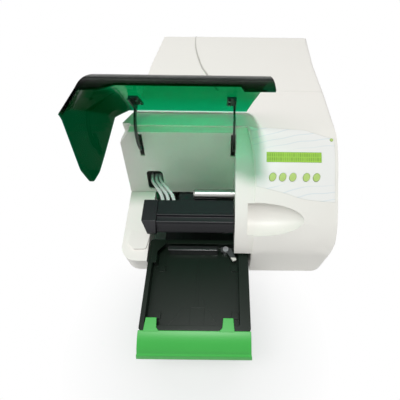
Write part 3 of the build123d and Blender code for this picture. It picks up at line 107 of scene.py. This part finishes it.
table_mesh = bmesh.new()
bmesh.ops.create_grid(table_mesh, x_segments=1, y_segments=1, size=3.0)
table_data = bpy.data.meshes.new("table")
table_mesh.to_mesh(table_data)
table_mesh.free()
table = bpy.data.objects.new("table", table_data)
scene.collection.objects.link(table)
table_white = bpy.data.materials.new("white table")
table_white.use_nodes = True
nodes = table_white.node_tree.nodes
links = table_white.node_tree.links
nodes["Principled BSDF"].inputs["Base Color"].default_value = (0.86, 0.86, 0.86, 1.0)
nodes["Principled BSDF"].inputs["Roughness"].default_value = 0.9
glow = nodes.new("ShaderNodeEmission")
glow.inputs["Color"].default_value = (1.0, 1.0, 1.0, 1.0)
glow.inputs["Strength"].default_value = 1.0
place = nodes.new("ShaderNodeTexCoord")
far_off = nodes.new("ShaderNodeVectorMath")
far_off.operation = "DISTANCE"
shadow_middle = (-0.04, -0.26, 0.0)
far_off.inputs[1].default_value = shadow_middle
links.new(place.outputs["Object"], far_off.inputs[0])
fade = nodes.new("ShaderNodeMapRange")
fade.inputs["From Min"].default_value = 0.06
fade.inputs["From Max"].default_value = 0.20
fade.inputs["To Min"].default_value = 0.2
fade.inputs["To Max"].default_value = 1.0
links.new(far_off.outputs["Value"], fade.inputs["Value"])
path = nodes.new("ShaderNodeLightPath")
seen = nodes.new("ShaderNodeMath")
seen.operation = "MAXIMUM"
links.new(path.outputs["Is Camera Ray"], seen.inputs[0])
links.new(path.outputs["Is Transmission Ray"], seen.inputs[1])
share = nodes.new("ShaderNodeMath")
share.operation = "MULTIPLY"
links.new(seen.outputs[0], share.inputs[0])
links.new(fade.outputs["Result"], share.inputs[1])
blend = nodes.new("ShaderNodeMixShader")
links.new(share.outputs[0], blend.inputs["Fac"])
links.new(nodes["Principled BSDF"].outputs[0], blend.inputs[1])
links.new(glow.outputs[0], blend.inputs[2])
links.new(blend.outputs[0], nodes["Material Output"].inputs["Surface"])
table_data.materials.append(table_white)

lamp_aim = Vector((0.0, 0.0, 0.1))
for name, spot, size, power in (
    ("ceiling panel", (-0.11, -0.42, 2.0), 0.18, 21.8),
    ("window side", (-1.5, -0.25, 1.3), 1.2, 8.0),
    ("room side", (1.5, -0.2, 1.1), 1.2, 2.8),
):
    lamp = bpy.data.lights.new(name, "AREA")
    lamp.energy = power
    lamp.size = size
    stand = bpy.data.objects.new(name, lamp)
    stand.location = spot
    stand.rotation_euler = (lamp_aim - Vector(spot)).to_track_quat("-Z", "Y").to_euler()
    scene.collection.objects.link(stand)


# Covers: three injection mouldings in warm white ABS with a fine spark-eroded grain, screwed to
# the base pan. Their edges are rounded a little where the mould halves meet.
def srgb(red, green, blue):
    """Colour as seen on the real piece, 0 to 255 each, made linear for a shader."""
    values = [c / 255.0 for c in (red, green, blue)]
    values = [c / 12.92 if c <= 0.04045 else ((c + 0.055) / 1.055) ** 2.4 for c in values]
    return (*values, 1.0)


def plastic(name, colour, rough, grain=0.0, grain_scale=1800.0, blotch=0.03, coat=0.0):
    """Moulded plastic: an even colour with slight flow marks and a fine grain in the surface."""
    made = bpy.data.materials.new(name)
    made.use_nodes = True
    nodes = made.node_tree.nodes
    links = made.node_tree.links
    shader = nodes["Principled BSDF"]
    shader.inputs["Roughness"].default_value = rough
    shader.inputs["Coat Weight"].default_value = coat
    place = nodes.new("ShaderNodeTexCoord")
    clouds = nodes.new("ShaderNodeTexNoise")
    clouds.inputs["Scale"].default_value = 14.0
    clouds.inputs["Detail"].default_value = 3.0
    links.new(place.outputs["Object"], clouds.inputs["Vector"])
    tone = nodes.new("ShaderNodeMix")
    tone.data_type = "RGBA"
    dark = tuple(c * (1.0 - blotch) for c in colour[:3]) + (1.0,)
    light = tuple(min(1.0, c * (1.0 + blotch)) for c in colour[:3]) + (1.0,)
    tone.inputs["A"].default_value = dark
    tone.inputs["B"].default_value = light
    links.new(clouds.outputs["Fac"], tone.inputs["Factor"])
    links.new(tone.outputs["Result"], shader.inputs["Base Color"])
    if grain:
        pits = nodes.new("ShaderNodeTexNoise")
        pits.inputs["Scale"].default_value = grain_scale
        pits.inputs["Detail"].default_value = 1.0
        links.new(place.outputs["Object"], pits.inputs["Vector"])
        relief = nodes.new("ShaderNodeBump")
        relief.inputs["Strength"].default_value = grain
        relief.inputs["Distance"].default_value = 0.0002
        links.new(pits.outputs["Fac"], relief.inputs["Height"])
        links.new(relief.outputs["Normal"], shader.inputs["Normal"])
    return made


def paint(node, material):
    """Gives a carried-over piece its material on every face."""
    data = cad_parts[node].data
    data.materials.clear()
    data.materials.append(material)


def softened(node, body, material, radius, angle=32.0):
    """The same piece with its sharp edges rounded, in place of the CAD node."""
    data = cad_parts[node].data.copy()
    data.name = node + "_moulded"
    piece = bpy.data.objects.new(node + "_moulded", data)
    scene.collection.objects.link(piece)
    mesh = bmesh.new()
    mesh.from_mesh(data)
    bmesh.ops.remove_doubles(mesh, verts=mesh.verts[:], dist=0.00001)
    bmesh.ops.dissolve_limit(mesh, angle_limit=math.radians(1.0), verts=mesh.verts[:], edges=mesh.edges[:])
    for face in mesh.faces:
        face.smooth = True
    mesh.to_mesh(data)
    mesh.free()
    data.materials.clear()
    data.materials.append(material)
    rounding = piece.modifiers.new("rounded edges", "BEVEL")
    rounding.width = radius
    rounding.segments = 2
    rounding.limit_method = "ANGLE"
    rounding.angle_limit = math.radians(angle)
    rounding.use_clamp_overlap = True
    shading = piece.modifiers.new("even shading", "WEIGHTED_NORMAL")
    shading.keep_sharp = True
    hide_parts(node)
    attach(piece, body)
    return piece


warm_white = plastic("warm white ABS", srgb(236, 234, 228), 0.42, grain=0.25, blotch=0.012)
for cover in ("console_cover", "bay_cover", "rear_cover"):
    softened(cover, "housing", warm_white, radius=0.0012)


# Step bead: a bead laid along the S-shaped step on top of the rear cover. Its grey is painted
# shade along the step. It runs from the back edge to the step's front end.
def swept(name, paths, radius, around, along, material):
    """Soft round strands, one along each row of points, in one new piece."""
    strands = bpy.data.curves.new(name + " lines", "CURVE")
    strands.dimensions = "3D"
    strands.bevel_depth = radius
    strands.bevel_resolution = around
    strands.resolution_u = along
    strands.use_fill_caps = True
    for points in paths:
        strand = strands.splines.new("NURBS")
        strand.points.add(len(points) - 1)
        for held, point in zip(strand.points, points):
            held.co = (*point, 1.0)
        strand.order_u = 3
        strand.use_endpoint_u = True
    holder = bpy.data.objects.new(name + " lines", strands)
    data = bpy.data.meshes.new_from_object(holder)
    bpy.data.objects.remove(holder)
    data.name = name
    data.materials.clear()
    data.materials.append(material)
    for face in data.polygons:
        face.use_smooth = True
    piece = bpy.data.objects.new(name, data)
    scene.collection.objects.link(piece)
    return piece


bead_radius = 0.0014
bead_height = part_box("rear_cover")[1].z - 0.0022
step_points = (
    (-0.0595, 0.2765), (-0.0600, 0.2560), (-0.0568, 0.2290), (-0.0496, 0.1980),
    (-0.0430, 0.1760), (-0.0352, 0.1590), (-0.0252, 0.1400), (-0.0140, 0.1160),
)
bead_path = [(x, y, bead_height) for x, y in step_points]
# The bead's grey is painted shade along the step.
step_shade_grey = plastic("bead grey painted shade", srgb(186, 184, 178), 0.5)
step_bead = swept("step_bead", [bead_path], bead_radius, 3, 8, step_shade_grey)
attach(step_bead, "housing")


# Base pan and feet: a folded steel pan, powder-coated light grey, with four rubber feet pressed
# into it.
def metal(name, colour, rough, streak=0.0, along="X"):
    """Bare or coated metal: an even colour with fine streaks from grinding or drawing."""
    made = bpy.data.materials.new(name)
    made.use_nodes = True
    nodes = made.node_tree.nodes
    links = made.node_tree.links
    shader = nodes["Principled BSDF"]
    shader.inputs["Metallic"].default_value = 1.0
    place = nodes.new("ShaderNodeTexCoord")
    squeeze = nodes.new("ShaderNodeMapping")
    slow = {"X": (0.04, 1.0, 1.0), "Y": (1.0, 0.04, 1.0), "Z": (1.0, 1.0, 0.04)}[along]
    squeeze.inputs["Scale"].default_value = slow
    links.new(place.outputs["Object"], squeeze.inputs["Vector"])
    streaks = nodes.new("ShaderNodeTexNoise")
    streaks.inputs["Scale"].default_value = 1600.0
    streaks.inputs["Detail"].default_value = 2.0
    links.new(squeeze.outputs["Vector"], streaks.inputs["Vector"])
    sheen = nodes.new("ShaderNodeMapRange")
    sheen.inputs["To Min"].default_value = max(0.05, rough - 0.08)
    sheen.inputs["To Max"].default_value = rough + 0.12
    links.new(streaks.outputs["Fac"], sheen.inputs["Value"])
    links.new(sheen.outputs["Result"], shader.inputs["Roughness"])
    tone = nodes.new("ShaderNodeMix")
    tone.data_type = "RGBA"
    tone.inputs["A"].default_value = tuple(c * 0.92 for c in colour[:3]) + (1.0,)
    tone.inputs["B"].default_value = colour
    links.new(streaks.outputs["Fac"], tone.inputs["Factor"])
    links.new(tone.outputs["Result"], shader.inputs["Base Color"])
    if streak:
        relief = nodes.new("ShaderNodeBump")
        relief.inputs["Strength"].default_value = streak
        relief.inputs["Distance"].default_value = 0.0001
        links.new(streaks.outputs["Fac"], relief.inputs["Height"])
        links.new(relief.outputs["Normal"], shader.inputs["Normal"])
    return made


pan_coat = plastic("grey powder coat", srgb(178, 180, 178), 0.5, grain=0.4, grain_scale=2500.0)
foot_black = plastic("black rubber", srgb(24, 24, 25), 0.75, grain=0.3, grain_scale=900.0)
paint("base_pan", pan_coat)
paint("rubber_feet", foot_black)

# Rear wall fittings: a mains inlet and a rocker switch in black nylon, four hose ports in white
# acetal, and the pan-head screws that hold the rear cover.
black_nylon = plastic("black nylon", srgb(27, 28, 30), 0.38, grain=0.2)
white_acetal = plastic("white acetal", srgb(226, 227, 222), 0.35)
screw_steel = metal("plated screw steel", (0.62, 0.63, 0.65, 1.0), 0.3)
softened("power_inlet", "housing", black_nylon, radius=0.0006)
softened("switch_frame", "housing", black_nylon, radius=0.0005)
softened("power_switch", "power_rocker", black_nylon, radius=0.0006)
paint("rear_ports", white_acetal)
paint("cover_screws", screw_steel)

# Keypad overlay: a printed polyester film stuck to the console's slope, white with pale curved
# lines. They leave the band around the display bare.
overlay_film = plastic("printed film", srgb(231, 234, 238), 0.34, blotch=0.006)
nodes = overlay_film.node_tree.nodes
links = overlay_film.node_tree.links
place = nodes.new("ShaderNodeTexCoord")
centre = nodes.new("ShaderNodeMapping")
centre.inputs["Location"].default_value = (-0.16, 0.36, 0.0)
centre.inputs["Scale"].default_value = (0.9, 1.0, 0.0)
links.new(place.outputs["Object"], centre.inputs["Vector"])
curves = nodes.new("ShaderNodeTexWave")
curves.wave_type = "RINGS"
curves.rings_direction = "Z"
curves.inputs["Scale"].default_value = 30.0
curves.inputs["Distortion"].default_value = 2.2
curves.inputs["Detail"].default_value = 0.0
links.new(centre.outputs["Vector"], curves.inputs["Vector"])
thin = nodes.new("ShaderNodeMapRange")
thin.inputs["From Min"].default_value = 0.93
thin.inputs["From Max"].default_value = 0.985
links.new(curves.outputs["Fac"], thin.inputs["Value"])
printed = nodes.new("ShaderNodeMix")
printed.data_type = "RGBA"
printed.inputs["A"].default_value = srgb(238, 238, 236)
printed.inputs["B"].default_value = srgb(224, 229, 231)
side_of = nodes.new("ShaderNodeSeparateXYZ")
links.new(place.outputs["Object"], side_of.inputs["Vector"])
upper = nodes.new("ShaderNodeMapRange")
upper.inputs["From Min"].default_value = -0.008
upper.inputs["From Max"].default_value = 0.004
links.new(side_of.outputs["Y"], upper.inputs["Value"])
lower = nodes.new("ShaderNodeMapRange")
lower.inputs["From Min"].default_value = -0.050
lower.inputs["From Max"].default_value = -0.056
links.new(side_of.outputs["Y"], lower.inputs["Value"])
outside = nodes.new("ShaderNodeMath")
outside.operation = "MAXIMUM"
links.new(upper.outputs["Result"], outside.inputs[0])
links.new(lower.outputs["Result"], outside.inputs[1])
inked = nodes.new("ShaderNodeMath")
inked.operation = "MULTIPLY"
links.new(thin.outputs["Result"], inked.inputs[0])
links.new(outside.outputs[0], inked.inputs[1])
links.new(inked.outputs[0], printed.inputs["Factor"])
links.new(printed.outputs["Result"], nodes["Principled BSDF"].inputs["Base Color"])
paint("keypad_overlay", overlay_film)

# Display: a two-line character module behind a clear window, lit yellow-green, with rows of
# slightly darker cells and nothing written in them. The circuit boards are green.
lit_glass = bpy.data.materials.new("lit display")
lit_glass.use_nodes = True
nodes = lit_glass.node_tree.nodes
links = lit_glass.node_tree.links
shader = nodes["Principled BSDF"]
place = nodes.new("ShaderNodeTexCoord")
line_up = nodes.new("ShaderNodeMapping")
line_up.inputs["Location"].default_value = (-0.0655, 0.0215, 0.0)
links.new(place.outputs["Object"], line_up.inputs["Vector"])
cells = nodes.new("ShaderNodeTexBrick")
cells.offset = 0.0
cells.inputs["Color1"].default_value = srgb(118, 160, 50)
cells.inputs["Color2"].default_value = srgb(134, 178, 60)
cells.inputs["Mortar"].default_value = srgb(146, 192, 66)
cells.inputs["Scale"].default_value = 1.0
cells.inputs["Brick Width"].default_value = 0.0033
cells.inputs["Row Height"].default_value = 0.0058
cells.inputs["Mortar Size"].default_value = 0.00055
cells.inputs["Mortar Smooth"].default_value = 0.3
links.new(line_up.outputs["Vector"], cells.inputs["Vector"])
links.new(cells.outputs["Color"], shader.inputs["Base Color"])
links.new(cells.outputs["Color"], shader.inputs["Emission Color"])
shader.inputs["Emission Strength"].default_value = 0.25
shader.inputs["Roughness"].default_value = 0.12
paint("display_window", lit_glass)
board_green = plastic("circuit board", srgb(20, 82, 48), 0.45, blotch=0.2)
for board in ("display_module", "key_board", "main_board"):
    paint(board, board_green)

# Keys: five slanted oval buttons moulded in translucent lime plastic, each sliding in its own
# hole in the slope. A small lime light sits above them.
lime_key = plastic("lime key plastic", srgb(182, 211, 118), 0.3, coat=0.2)
shader = lime_key.node_tree.nodes["Principled BSDF"]
shader.inputs["Subsurface Weight"].default_value = 0.15
shader.inputs["Subsurface Radius"].default_value = (0.002, 0.003, 0.001)
for number in range(1, 6):
    paint(f"key_{number}", lime_key)
paint("status_light", plastic("lime light lens", srgb(176, 204, 112), 0.2, coat=0.3))

# Lid: one sheet of clear green acrylic, thermoformed over a curved top with a folded left side.
# Its colour is in the sheet, so it goes darker wherever the sheet is seen along its length. The
# fold and the rolled front edge are painted nearly black in the base colour, as painted shade.
tinted = bpy.data.materials.new("green acrylic")
tinted.use_nodes = True
nodes = tinted.node_tree.nodes
links = tinted.node_tree.links
shader = nodes["Principled BSDF"]
shader.inputs["Transmission Weight"].default_value = 1.0
shader.inputs["Roughness"].default_value = 0.02
shader.inputs["IOR"].default_value = 1.06
shader.inputs["Specular IOR Level"].default_value = 0.3
for_lamps = nodes.new("ShaderNodeBsdfTransparent")
for_lamps.inputs["Color"].default_value = (0.36, 0.62, 0.44, 1.0)
ray = nodes.new("ShaderNodeLightPath")
either = nodes.new("ShaderNodeMixShader")
links.new(ray.outputs["Is Shadow Ray"], either.inputs["Fac"])
links.new(shader.outputs["BSDF"], either.inputs[1])
links.new(for_lamps.outputs["BSDF"], either.inputs[2])
links.new(either.outputs["Shader"], nodes["Material Output"].inputs["Surface"])
depth = nodes.new("ShaderNodeVolumeAbsorption")
depth.inputs["Color"].default_value = (0.11, 0.845, 0.71, 1.0)
depth.inputs["Density"].default_value = 1300.0
links.new(depth.outputs["Volume"], nodes["Material Output"].inputs["Volume"])
place = nodes.new("ShaderNodeTexCoord")
swells = nodes.new("ShaderNodeTexNoise")
swells.inputs["Scale"].default_value = 9.0
swells.inputs["Detail"].default_value = 1.0
links.new(place.outputs["Object"], swells.inputs["Vector"])
draw = nodes.new("ShaderNodeBump")
draw.inputs["Strength"].default_value = 0.12
draw.inputs["Distance"].default_value = 0.004
links.new(swells.outputs["Fac"], draw.inputs["Height"])
links.new(draw.outputs["Normal"], shader.inputs["Normal"])
where = nodes.new("ShaderNodeSeparateXYZ")
links.new(place.outputs["Object"], where.inputs["Vector"])
folded = nodes.new("ShaderNodeMapRange")
folded.inputs["From Min"].default_value = -0.138
folded.inputs["From Max"].default_value = -0.152
links.new(where.outputs["X"], folded.inputs["Value"])
dropped = nodes.new("ShaderNodeMapRange")
dropped.inputs["From Min"].default_value = 0.296
dropped.inputs["From Max"].default_value = 0.314
links.new(where.outputs["Z"], dropped.inputs["Value"])
bent = nodes.new("ShaderNodeMath")
bent.operation = "MAXIMUM"
links.new(folded.outputs["Result"], bent.inputs[0])
links.new(dropped.outputs["Result"], bent.inputs[1])
# Painted shade: the fold and the rolled front edge get a near-black base colour.
painted_bend_shade = nodes.new("ShaderNodeMix")
painted_bend_shade.data_type = "RGBA"
painted_bend_shade.inputs["A"].default_value = (0.93, 1.0, 0.96, 1.0)
painted_bend_shade.inputs["B"].default_value = (0.07, 0.13, 0.10, 1.0)
links.new(bent.outputs[0], painted_bend_shade.inputs["Factor"])
links.new(painted_bend_shade.outputs["Result"], shader.inputs["Base Color"])
softened("lid", "lid", tinted, radius=0.0006, angle=40.0)

# Hinge arms: two black moulded arms screwed under the lid, swinging on steel pins in the
# brackets behind the back wall.
arm_black = plastic("black arm plastic", srgb(22, 24, 23), 0.3, grain=0.1)
for arm in ("lid_arm_left", "lid_arm_right"):
    softened(arm, "lid", arm_black, radius=0.0005)
paint("lid_screws", screw_steel)
paint("hinge_pins", screw_steel)
paint("hinge_brackets", pan_coat)

# Plate carrier tray: a black moulded tray that holds the plate crosswise between low rims. The
# slots that the solid has in its floor are closed, because the real floor is whole.
tray_black = plastic("black tray plastic", srgb(12, 25, 16), 0.3, grain=0.15)
tray_black.node_tree.nodes["Principled BSDF"].inputs["Specular IOR Level"].default_value = 0.2
tray = softened("plate_carrier", "carrier", tray_black, radius=0.0008)
slots_low = Vector((-0.084, -0.209, 0.0245))
slots_high = Vector((0.0, -0.163, 0.0285))
floor = bmesh.new()
floor.from_mesh(tray.data)
slot_sides = [
    face
    for face in floor.faces
    if abs(face.normal.z) < 0.2
    and all(slots_low[i] < face.calc_center_median()[i] < slots_high[i] for i in range(3))
]
bmesh.ops.delete(floor, geom=slot_sides, context="FACES")
open_edges = [edge for edge in floor.edges if edge.is_boundary]
bmesh.ops.holes_fill(floor, edges=open_edges, sides=0)
floor.to_mesh(tray.data)
floor.free()


# Front panel: the green moulding on the tray's front edge, which the hand pulls. Its top curves
# down to a lip that flares a little to both sides, and two tabs stand at its back.
def moulded(name, body, material, mesh, radius, steps=2, stands_for=None):
    """A new piece from a closed mesh, with its edges rounded, in place of a CAD node if one is named."""
    bmesh.ops.recalc_face_normals(mesh, faces=mesh.faces[:])
    sharp = [edge for edge in mesh.edges if edge.calc_face_angle(0.0) > math.radians(18.0)]
    bmesh.ops.bevel(
        mesh,
        geom=sharp,
        offset=radius,
        offset_type="OFFSET",
        segments=steps,
        profile=0.5,
        affect="EDGES",
        clamp_overlap=True,
        material=-1,
    )
    for face in mesh.faces:
        face.smooth = True
    data = bpy.data.meshes.new(name)
    mesh.to_mesh(data)
    mesh.free()
    data.materials.append(material)
    piece = bpy.data.objects.new(name, data)
    scene.collection.objects.link(piece)
    shading = piece.modifiers.new("even shading", "WEIGHTED_NORMAL")
    shading.keep_sharp = True
    if stands_for:
        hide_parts(stands_for)
    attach(piece, body)


def raised(mesh, corners, rise):
    """A closed solid: the face with these corners, pushed out by this vector."""
    end = mesh.faces.new([mesh.verts.new(corner) for corner in corners])
    pushed = bmesh.ops.extrude_face_region(mesh, geom=[end])["geom"]
    far = [part for part in pushed if isinstance(part, bmesh.types.BMVert)]
    bmesh.ops.translate(mesh, verts=far, vec=rise)


def bar_along_x(mesh, outline, left, right):
    """A closed bar with this (Y, Z) outline between two places along X."""
    raised(mesh, [(left, y, z) for y, z in outline], (right - left, 0.0, 0.0))


green_front = plastic("green front plastic", srgb(57, 172, 68), 0.42, grain=0.1)
front_low, front_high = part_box("carrier_front")
front_join = -0.2460
front_middle = -0.042
side_room = 0.0019
lip_flare = 0.0024
front_outline = (
    (front_join, 0.0465), (-0.2510, 0.0460), (-0.2570, 0.0445), (-0.2630, 0.0418),
    (-0.2690, 0.0380), (-0.2722, 0.0349), (-0.2736, 0.0330), (-0.2743, 0.0322),
    (-0.2766, 0.0315), (-0.2780, 0.0295), (front_low.y, 0.0225), (-0.2798, front_low.z),
    (-0.2772, 0.0215), (-0.2745, 0.0270), (-0.2700, 0.0325), (-0.2620, 0.0388),
    (-0.2540, 0.0425), (-0.2490, 0.0435), (-0.2490, front_low.z), (front_join, front_low.z),
)
front_panel = bmesh.new()
bar_along_x(front_panel, front_outline, front_low.x + side_room, front_high.x - side_room)
for corner in front_panel.verts:
    reach = max(0.0, (front_join - corner.co.y) / (front_join - front_low.y))
    corner.co.x += math.copysign(lip_flare, corner.co.x - front_middle) * reach ** 6
tab_height = 0.0020
foot_y, swell_y, neck_y = -0.2475, -0.2455, -0.2420
for foot_left, top_left, top_right, foot_right in (
    (-0.1150, -0.1130, -0.0975, -0.0925),
    (-0.0070, -0.0015, 0.0130, 0.0152),
):
    tab_outline = (
        (foot_left, foot_y), (foot_left + 0.0006, swell_y),
        (top_left - 0.0012, neck_y), (top_left, front_high.y),
        (top_right, front_high.y), (top_right + 0.0012, neck_y),
        (foot_right - 0.0006, swell_y), (foot_right, foot_y),
    )
    tab_corners = [(x, y, front_high.z - tab_height) for x, y in tab_outline]
    raised(front_panel, tab_corners, (0.0, 0.0, tab_height))
moulded(
    "front_panel", "carrier", green_front, front_panel,
    radius=0.0007, stands_for="carrier_front",
)

# Tray ribs: fine raised lines moulded with the tray's floor. Two run along its middle, three
# frame a small field at its front, and one slants to each front corner.
ribs = bmesh.new()
rib_width = 0.0007
rib_height = 0.0004
floor_top = 0.0280
for (x1, y1), (x2, y2) in (
    ((-0.0445, -0.1320), (-0.0445, -0.2090)),
    ((-0.0395, -0.1320), (-0.0395, -0.2090)),
    ((-0.0850, -0.2380), (-0.0590, -0.2080)),
    ((-0.0080, -0.2380), (-0.0340, -0.1980)),
    ((-0.0515, -0.2100), (-0.0300, -0.2100)),
    ((-0.0515, -0.2100), (-0.0515, -0.2380)),
    ((-0.0300, -0.2100), (-0.0300, -0.2380)),
):
    run = Vector((x2 - x1, y2 - y1, 0.0))
    lie = (
        Matrix.Translation(((x1 + x2) / 2.0, (y1 + y2) / 2.0, floor_top))
        @ Matrix.Rotation(math.atan2(run.y, run.x), 4, "Z")
        @ Matrix.Diagonal((run.length, rib_width, rib_height, 1.0))
    )
    bmesh.ops.create_cube(ribs, size=1.0, matrix=lie)
moulded("tray_ribs", "carrier", tray_black, ribs, radius=0.00008, steps=1)

# Stop, locating bracket and clamp: mouldings that hold the plate in its place on the tray. The
# clamp's dark lever turns on a steel screw and has a pale tip.
stop_black = plastic("glossy black stop", srgb(30, 32, 32), 0.22)
softened("plate_stop", "carrier", stop_black, radius=0.0009)
softened("locator_bracket", "carrier", tray_black, radius=0.0006)
lever_finish = plastic("clamp lever", srgb(52, 55, 56), 0.3)
nodes = lever_finish.node_tree.nodes
links = lever_finish.node_tree.links
place = nodes.new("ShaderNodeTexCoord")
where = nodes.new("ShaderNodeSeparateXYZ")
links.new(place.outputs["Object"], where.inputs["Vector"])
tip = nodes.new("ShaderNodeMapRange")
tip.inputs["From Min"].default_value = -0.1335
tip.inputs["From Max"].default_value = -0.1350
links.new(where.outputs["Y"], tip.inputs["Value"])
capped = nodes.new("ShaderNodeMix")
capped.data_type = "RGBA"
capped.inputs["A"].default_value = srgb(62, 66, 66)
capped.inputs["B"].default_value = srgb(216, 216, 208)
links.new(tip.outputs["Result"], capped.inputs["Factor"])
links.new(capped.outputs["Result"], nodes["Principled BSDF"].inputs["Base Color"])
softened("plate_clamp", "clamp", lever_finish, radius=0.0007)
paint("clamp_pivot", screw_steel)

# Drives and fluid works: ground steel rods, milled aluminium holders and pulleys, a toothed
# rubber belt, folded brackets, stepping motors, two pumps and their valves. The slide that
# carries the tray is black anodised.
ground_steel = metal("ground steel", (0.70, 0.71, 0.73, 1.0), 0.22, streak=0.1, along="Y")
milled_aluminium = metal("milled aluminium", (0.74, 0.75, 0.76, 1.0), 0.36, streak=0.15)
black_anodised = plastic("black anodised sheet", srgb(20, 24, 23), 0.45, grain=0.1)
black_anodised.node_tree.nodes["Principled BSDF"].inputs["Specular IOR Level"].default_value = 0.2
motor_black = plastic("black motor lacquer", srgb(30, 31, 33), 0.4, grain=0.2)
belt_black = plastic("belt rubber", srgb(20, 20, 21), 0.7, grain=0.4, grain_scale=700.0)
for rod in ("guide_rods", "lift_rods", "lift_screw"):
    paint(rod, ground_steel)
for cast in ("rod_holders", "drive_pulley", "idler_pulley", "lift_carriage"):
    paint(cast, milled_aluminium)
for bracket in ("motor_bracket", "idler_bracket", "lift_frame", "power_supply"):
    paint(bracket, pan_coat)
for wound in ("drive_motor", "lift_motor", "dispense_pump", "vacuum_pump"):
    paint(wound, motor_black)
paint("drive_belt", belt_black)
paint("valves", white_acetal)
paint("carrier_slide", black_anodised)


# Slide shield: a thin black anodised sheet let into the top of the slide. It closes the slide's
# windows, so that nothing pale shows past the tray. Its black is partly painted shade for the
# dark gap under the head.
def oblong(front, back, bottom, top):
    """The (Y, Z) outline of a bar with four square corners."""
    return ((front, bottom), (front, top), (back, top), (back, bottom))


slide_low, slide_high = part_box("carrier_slide")
sheet_inset = 0.001
sheet_outline = oblong(
    slide_low.y + sheet_inset,
    slide_high.y - sheet_inset,
    slide_high.z - 0.002,
    slide_high.z - 0.0005,
)
shield = bmesh.new()
bar_along_x(shield, sheet_outline, slide_low.x + sheet_inset, slide_high.x - sheet_inset)
moulded("slide_shield", "carrier", black_anodised, shield, radius=0.0003)

# Wash head manifold: a black moulded bar with two rounded beads and a groove between them along
# its top. Its outline runs from the back foot over the thin hood, which covers the hose
# fittings, and over the beads to the slanted front.
head_black = plastic("black manifold plastic", srgb(30, 30, 33), 0.38, grain=0.12)
head_black.node_tree.nodes["Principled BSDF"].inputs["Specular IOR Level"].default_value = 0.3
head_low, head_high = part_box("wash_head")
manifold_outline = (
    (-0.0720, 0.0780), (-0.0720, 0.0950), (-0.0610, 0.0950), (-0.0610, 0.0972),
    (-0.0855, 0.0972), (-0.0862, 0.0990), (-0.0892, 0.0990), (-0.0899, 0.0945),
    (-0.0965, 0.0940), (-0.0972, 0.0970), (-0.1003, 0.0966), (-0.1015, 0.0930),
    (-0.1040, 0.0900), (-0.1090, 0.0805), (-0.1090, 0.0780),
)
manifold = bmesh.new()
bar_along_x(manifold, manifold_outline, head_low.x, head_high.x)
moulded(
    "manifold", "head", head_black, manifold,
    radius=0.0009, steps=3, stands_for="wash_head",
)

# End cap: the black block that closes the manifold's left end and reaches back past it. Its
# front left corner and its lower left edge are cut off at a slant.
cap_low, cap_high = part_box("head_end_cap")
cap_outline = (
    (-0.0605, cap_low.z), (-0.0605, 0.0965), (-0.0630, cap_high.z),
    (-0.0750, cap_high.z), (-0.0990, 0.0980), (-0.1100, 0.0910),
    (cap_low.y, 0.0870), (cap_low.y, 0.0820), (-0.1090, cap_low.z),
)
end_cap = bmesh.new()
bar_along_x(end_cap, cap_outline, cap_low.x, cap_high.x)
for spot, away in (
    ((cap_low.x, -0.0985, 0.0), (-0.0155, -0.0085, 0.0)),
    ((cap_low.x, 0.0, 0.0900), (-0.0140, 0.0, -0.0080)),
):
    cut = bmesh.ops.bisect_plane(
        end_cap,
        geom=end_cap.verts[:] + end_cap.edges[:] + end_cap.faces[:],
        dist=1e-6,
        plane_co=spot,
        plane_no=away,
        clear_outer=True,
    )
    rim = [edge for edge in cut["geom_cut"] if isinstance(edge, bmesh.types.BMEdge)]
    bmesh.ops.edgenet_fill(end_cap, edges=rim)
moulded(
    "end_cap", "head", head_black, end_cap,
    radius=0.0009, stands_for="head_end_cap",
)

# Arm and tubes: a flat black saddle at the manifold's back takes the bright steel arm that raises
# and lowers the head. Two rows of drawn steel tubes are pressed into the manifold from below,
# and white acetal fittings at its back take the hoses.
saddle = bmesh.new()
saddle_outline = oblong(front=-0.0715, back=-0.0400, bottom=0.0800, top=0.0838)
bar_along_x(saddle, saddle_outline, left=-0.076, right=-0.014)
moulded(
    "arm_saddle", "head", head_black, saddle,
    radius=0.0006, stands_for="arm_bracket",
)
bright_arm = metal("bright arm steel", (0.42, 0.42, 0.40, 1.0), 0.34, streak=0.1)
tube_steel = metal("drawn tube steel", (0.72, 0.73, 0.75, 1.0), 0.25, along="Z")
paint("lift_arm", bright_arm)
paint("dispense_tubes", tube_steel)
paint("aspirate_tubes", tube_steel)
paint("head_fittings", white_acetal)

# Hoses: three soft clear tubes from the fittings on the head out through the hole in the back
# wall.
hose_clear = plastic("clear soft tube", srgb(232, 238, 236), 0.28)
hose_clear.node_tree.nodes["Principled BSDF"].inputs["Transmission Weight"].default_value = 0.35
tubing_low, tubing_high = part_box("tubing")
tube_radius = 0.00275
hole_pitch = 0.0072
fitting_pitch = 0.0090
hole_run = 0.014
fitting_run = 0.012
arch_drop = 0.008
hose_paths = []
for number in range(3):
    at_hole = tubing_low.x + tube_radius + hole_pitch * number
    at_head = tubing_high.x - tube_radius + fitting_pitch * (number - 2)
    hose_paths.append((
        (at_hole, tubing_high.y, tubing_low.z + tube_radius),
        (at_hole, tubing_high.y - hole_run, tubing_low.z + tube_radius),
        ((at_hole + at_head) / 2.0, (tubing_high.y + tubing_low.y) / 2.0, tubing_high.z - arch_drop),
        (at_head, tubing_low.y + fitting_run, tubing_high.z - tube_radius),
        (at_head, tubing_low.y, tubing_high.z - tube_radius),
    ))
hoses = swept("hoses", hose_paths, tube_radius, 5, 10, hose_clear)
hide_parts("tubing")
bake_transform(hoses)
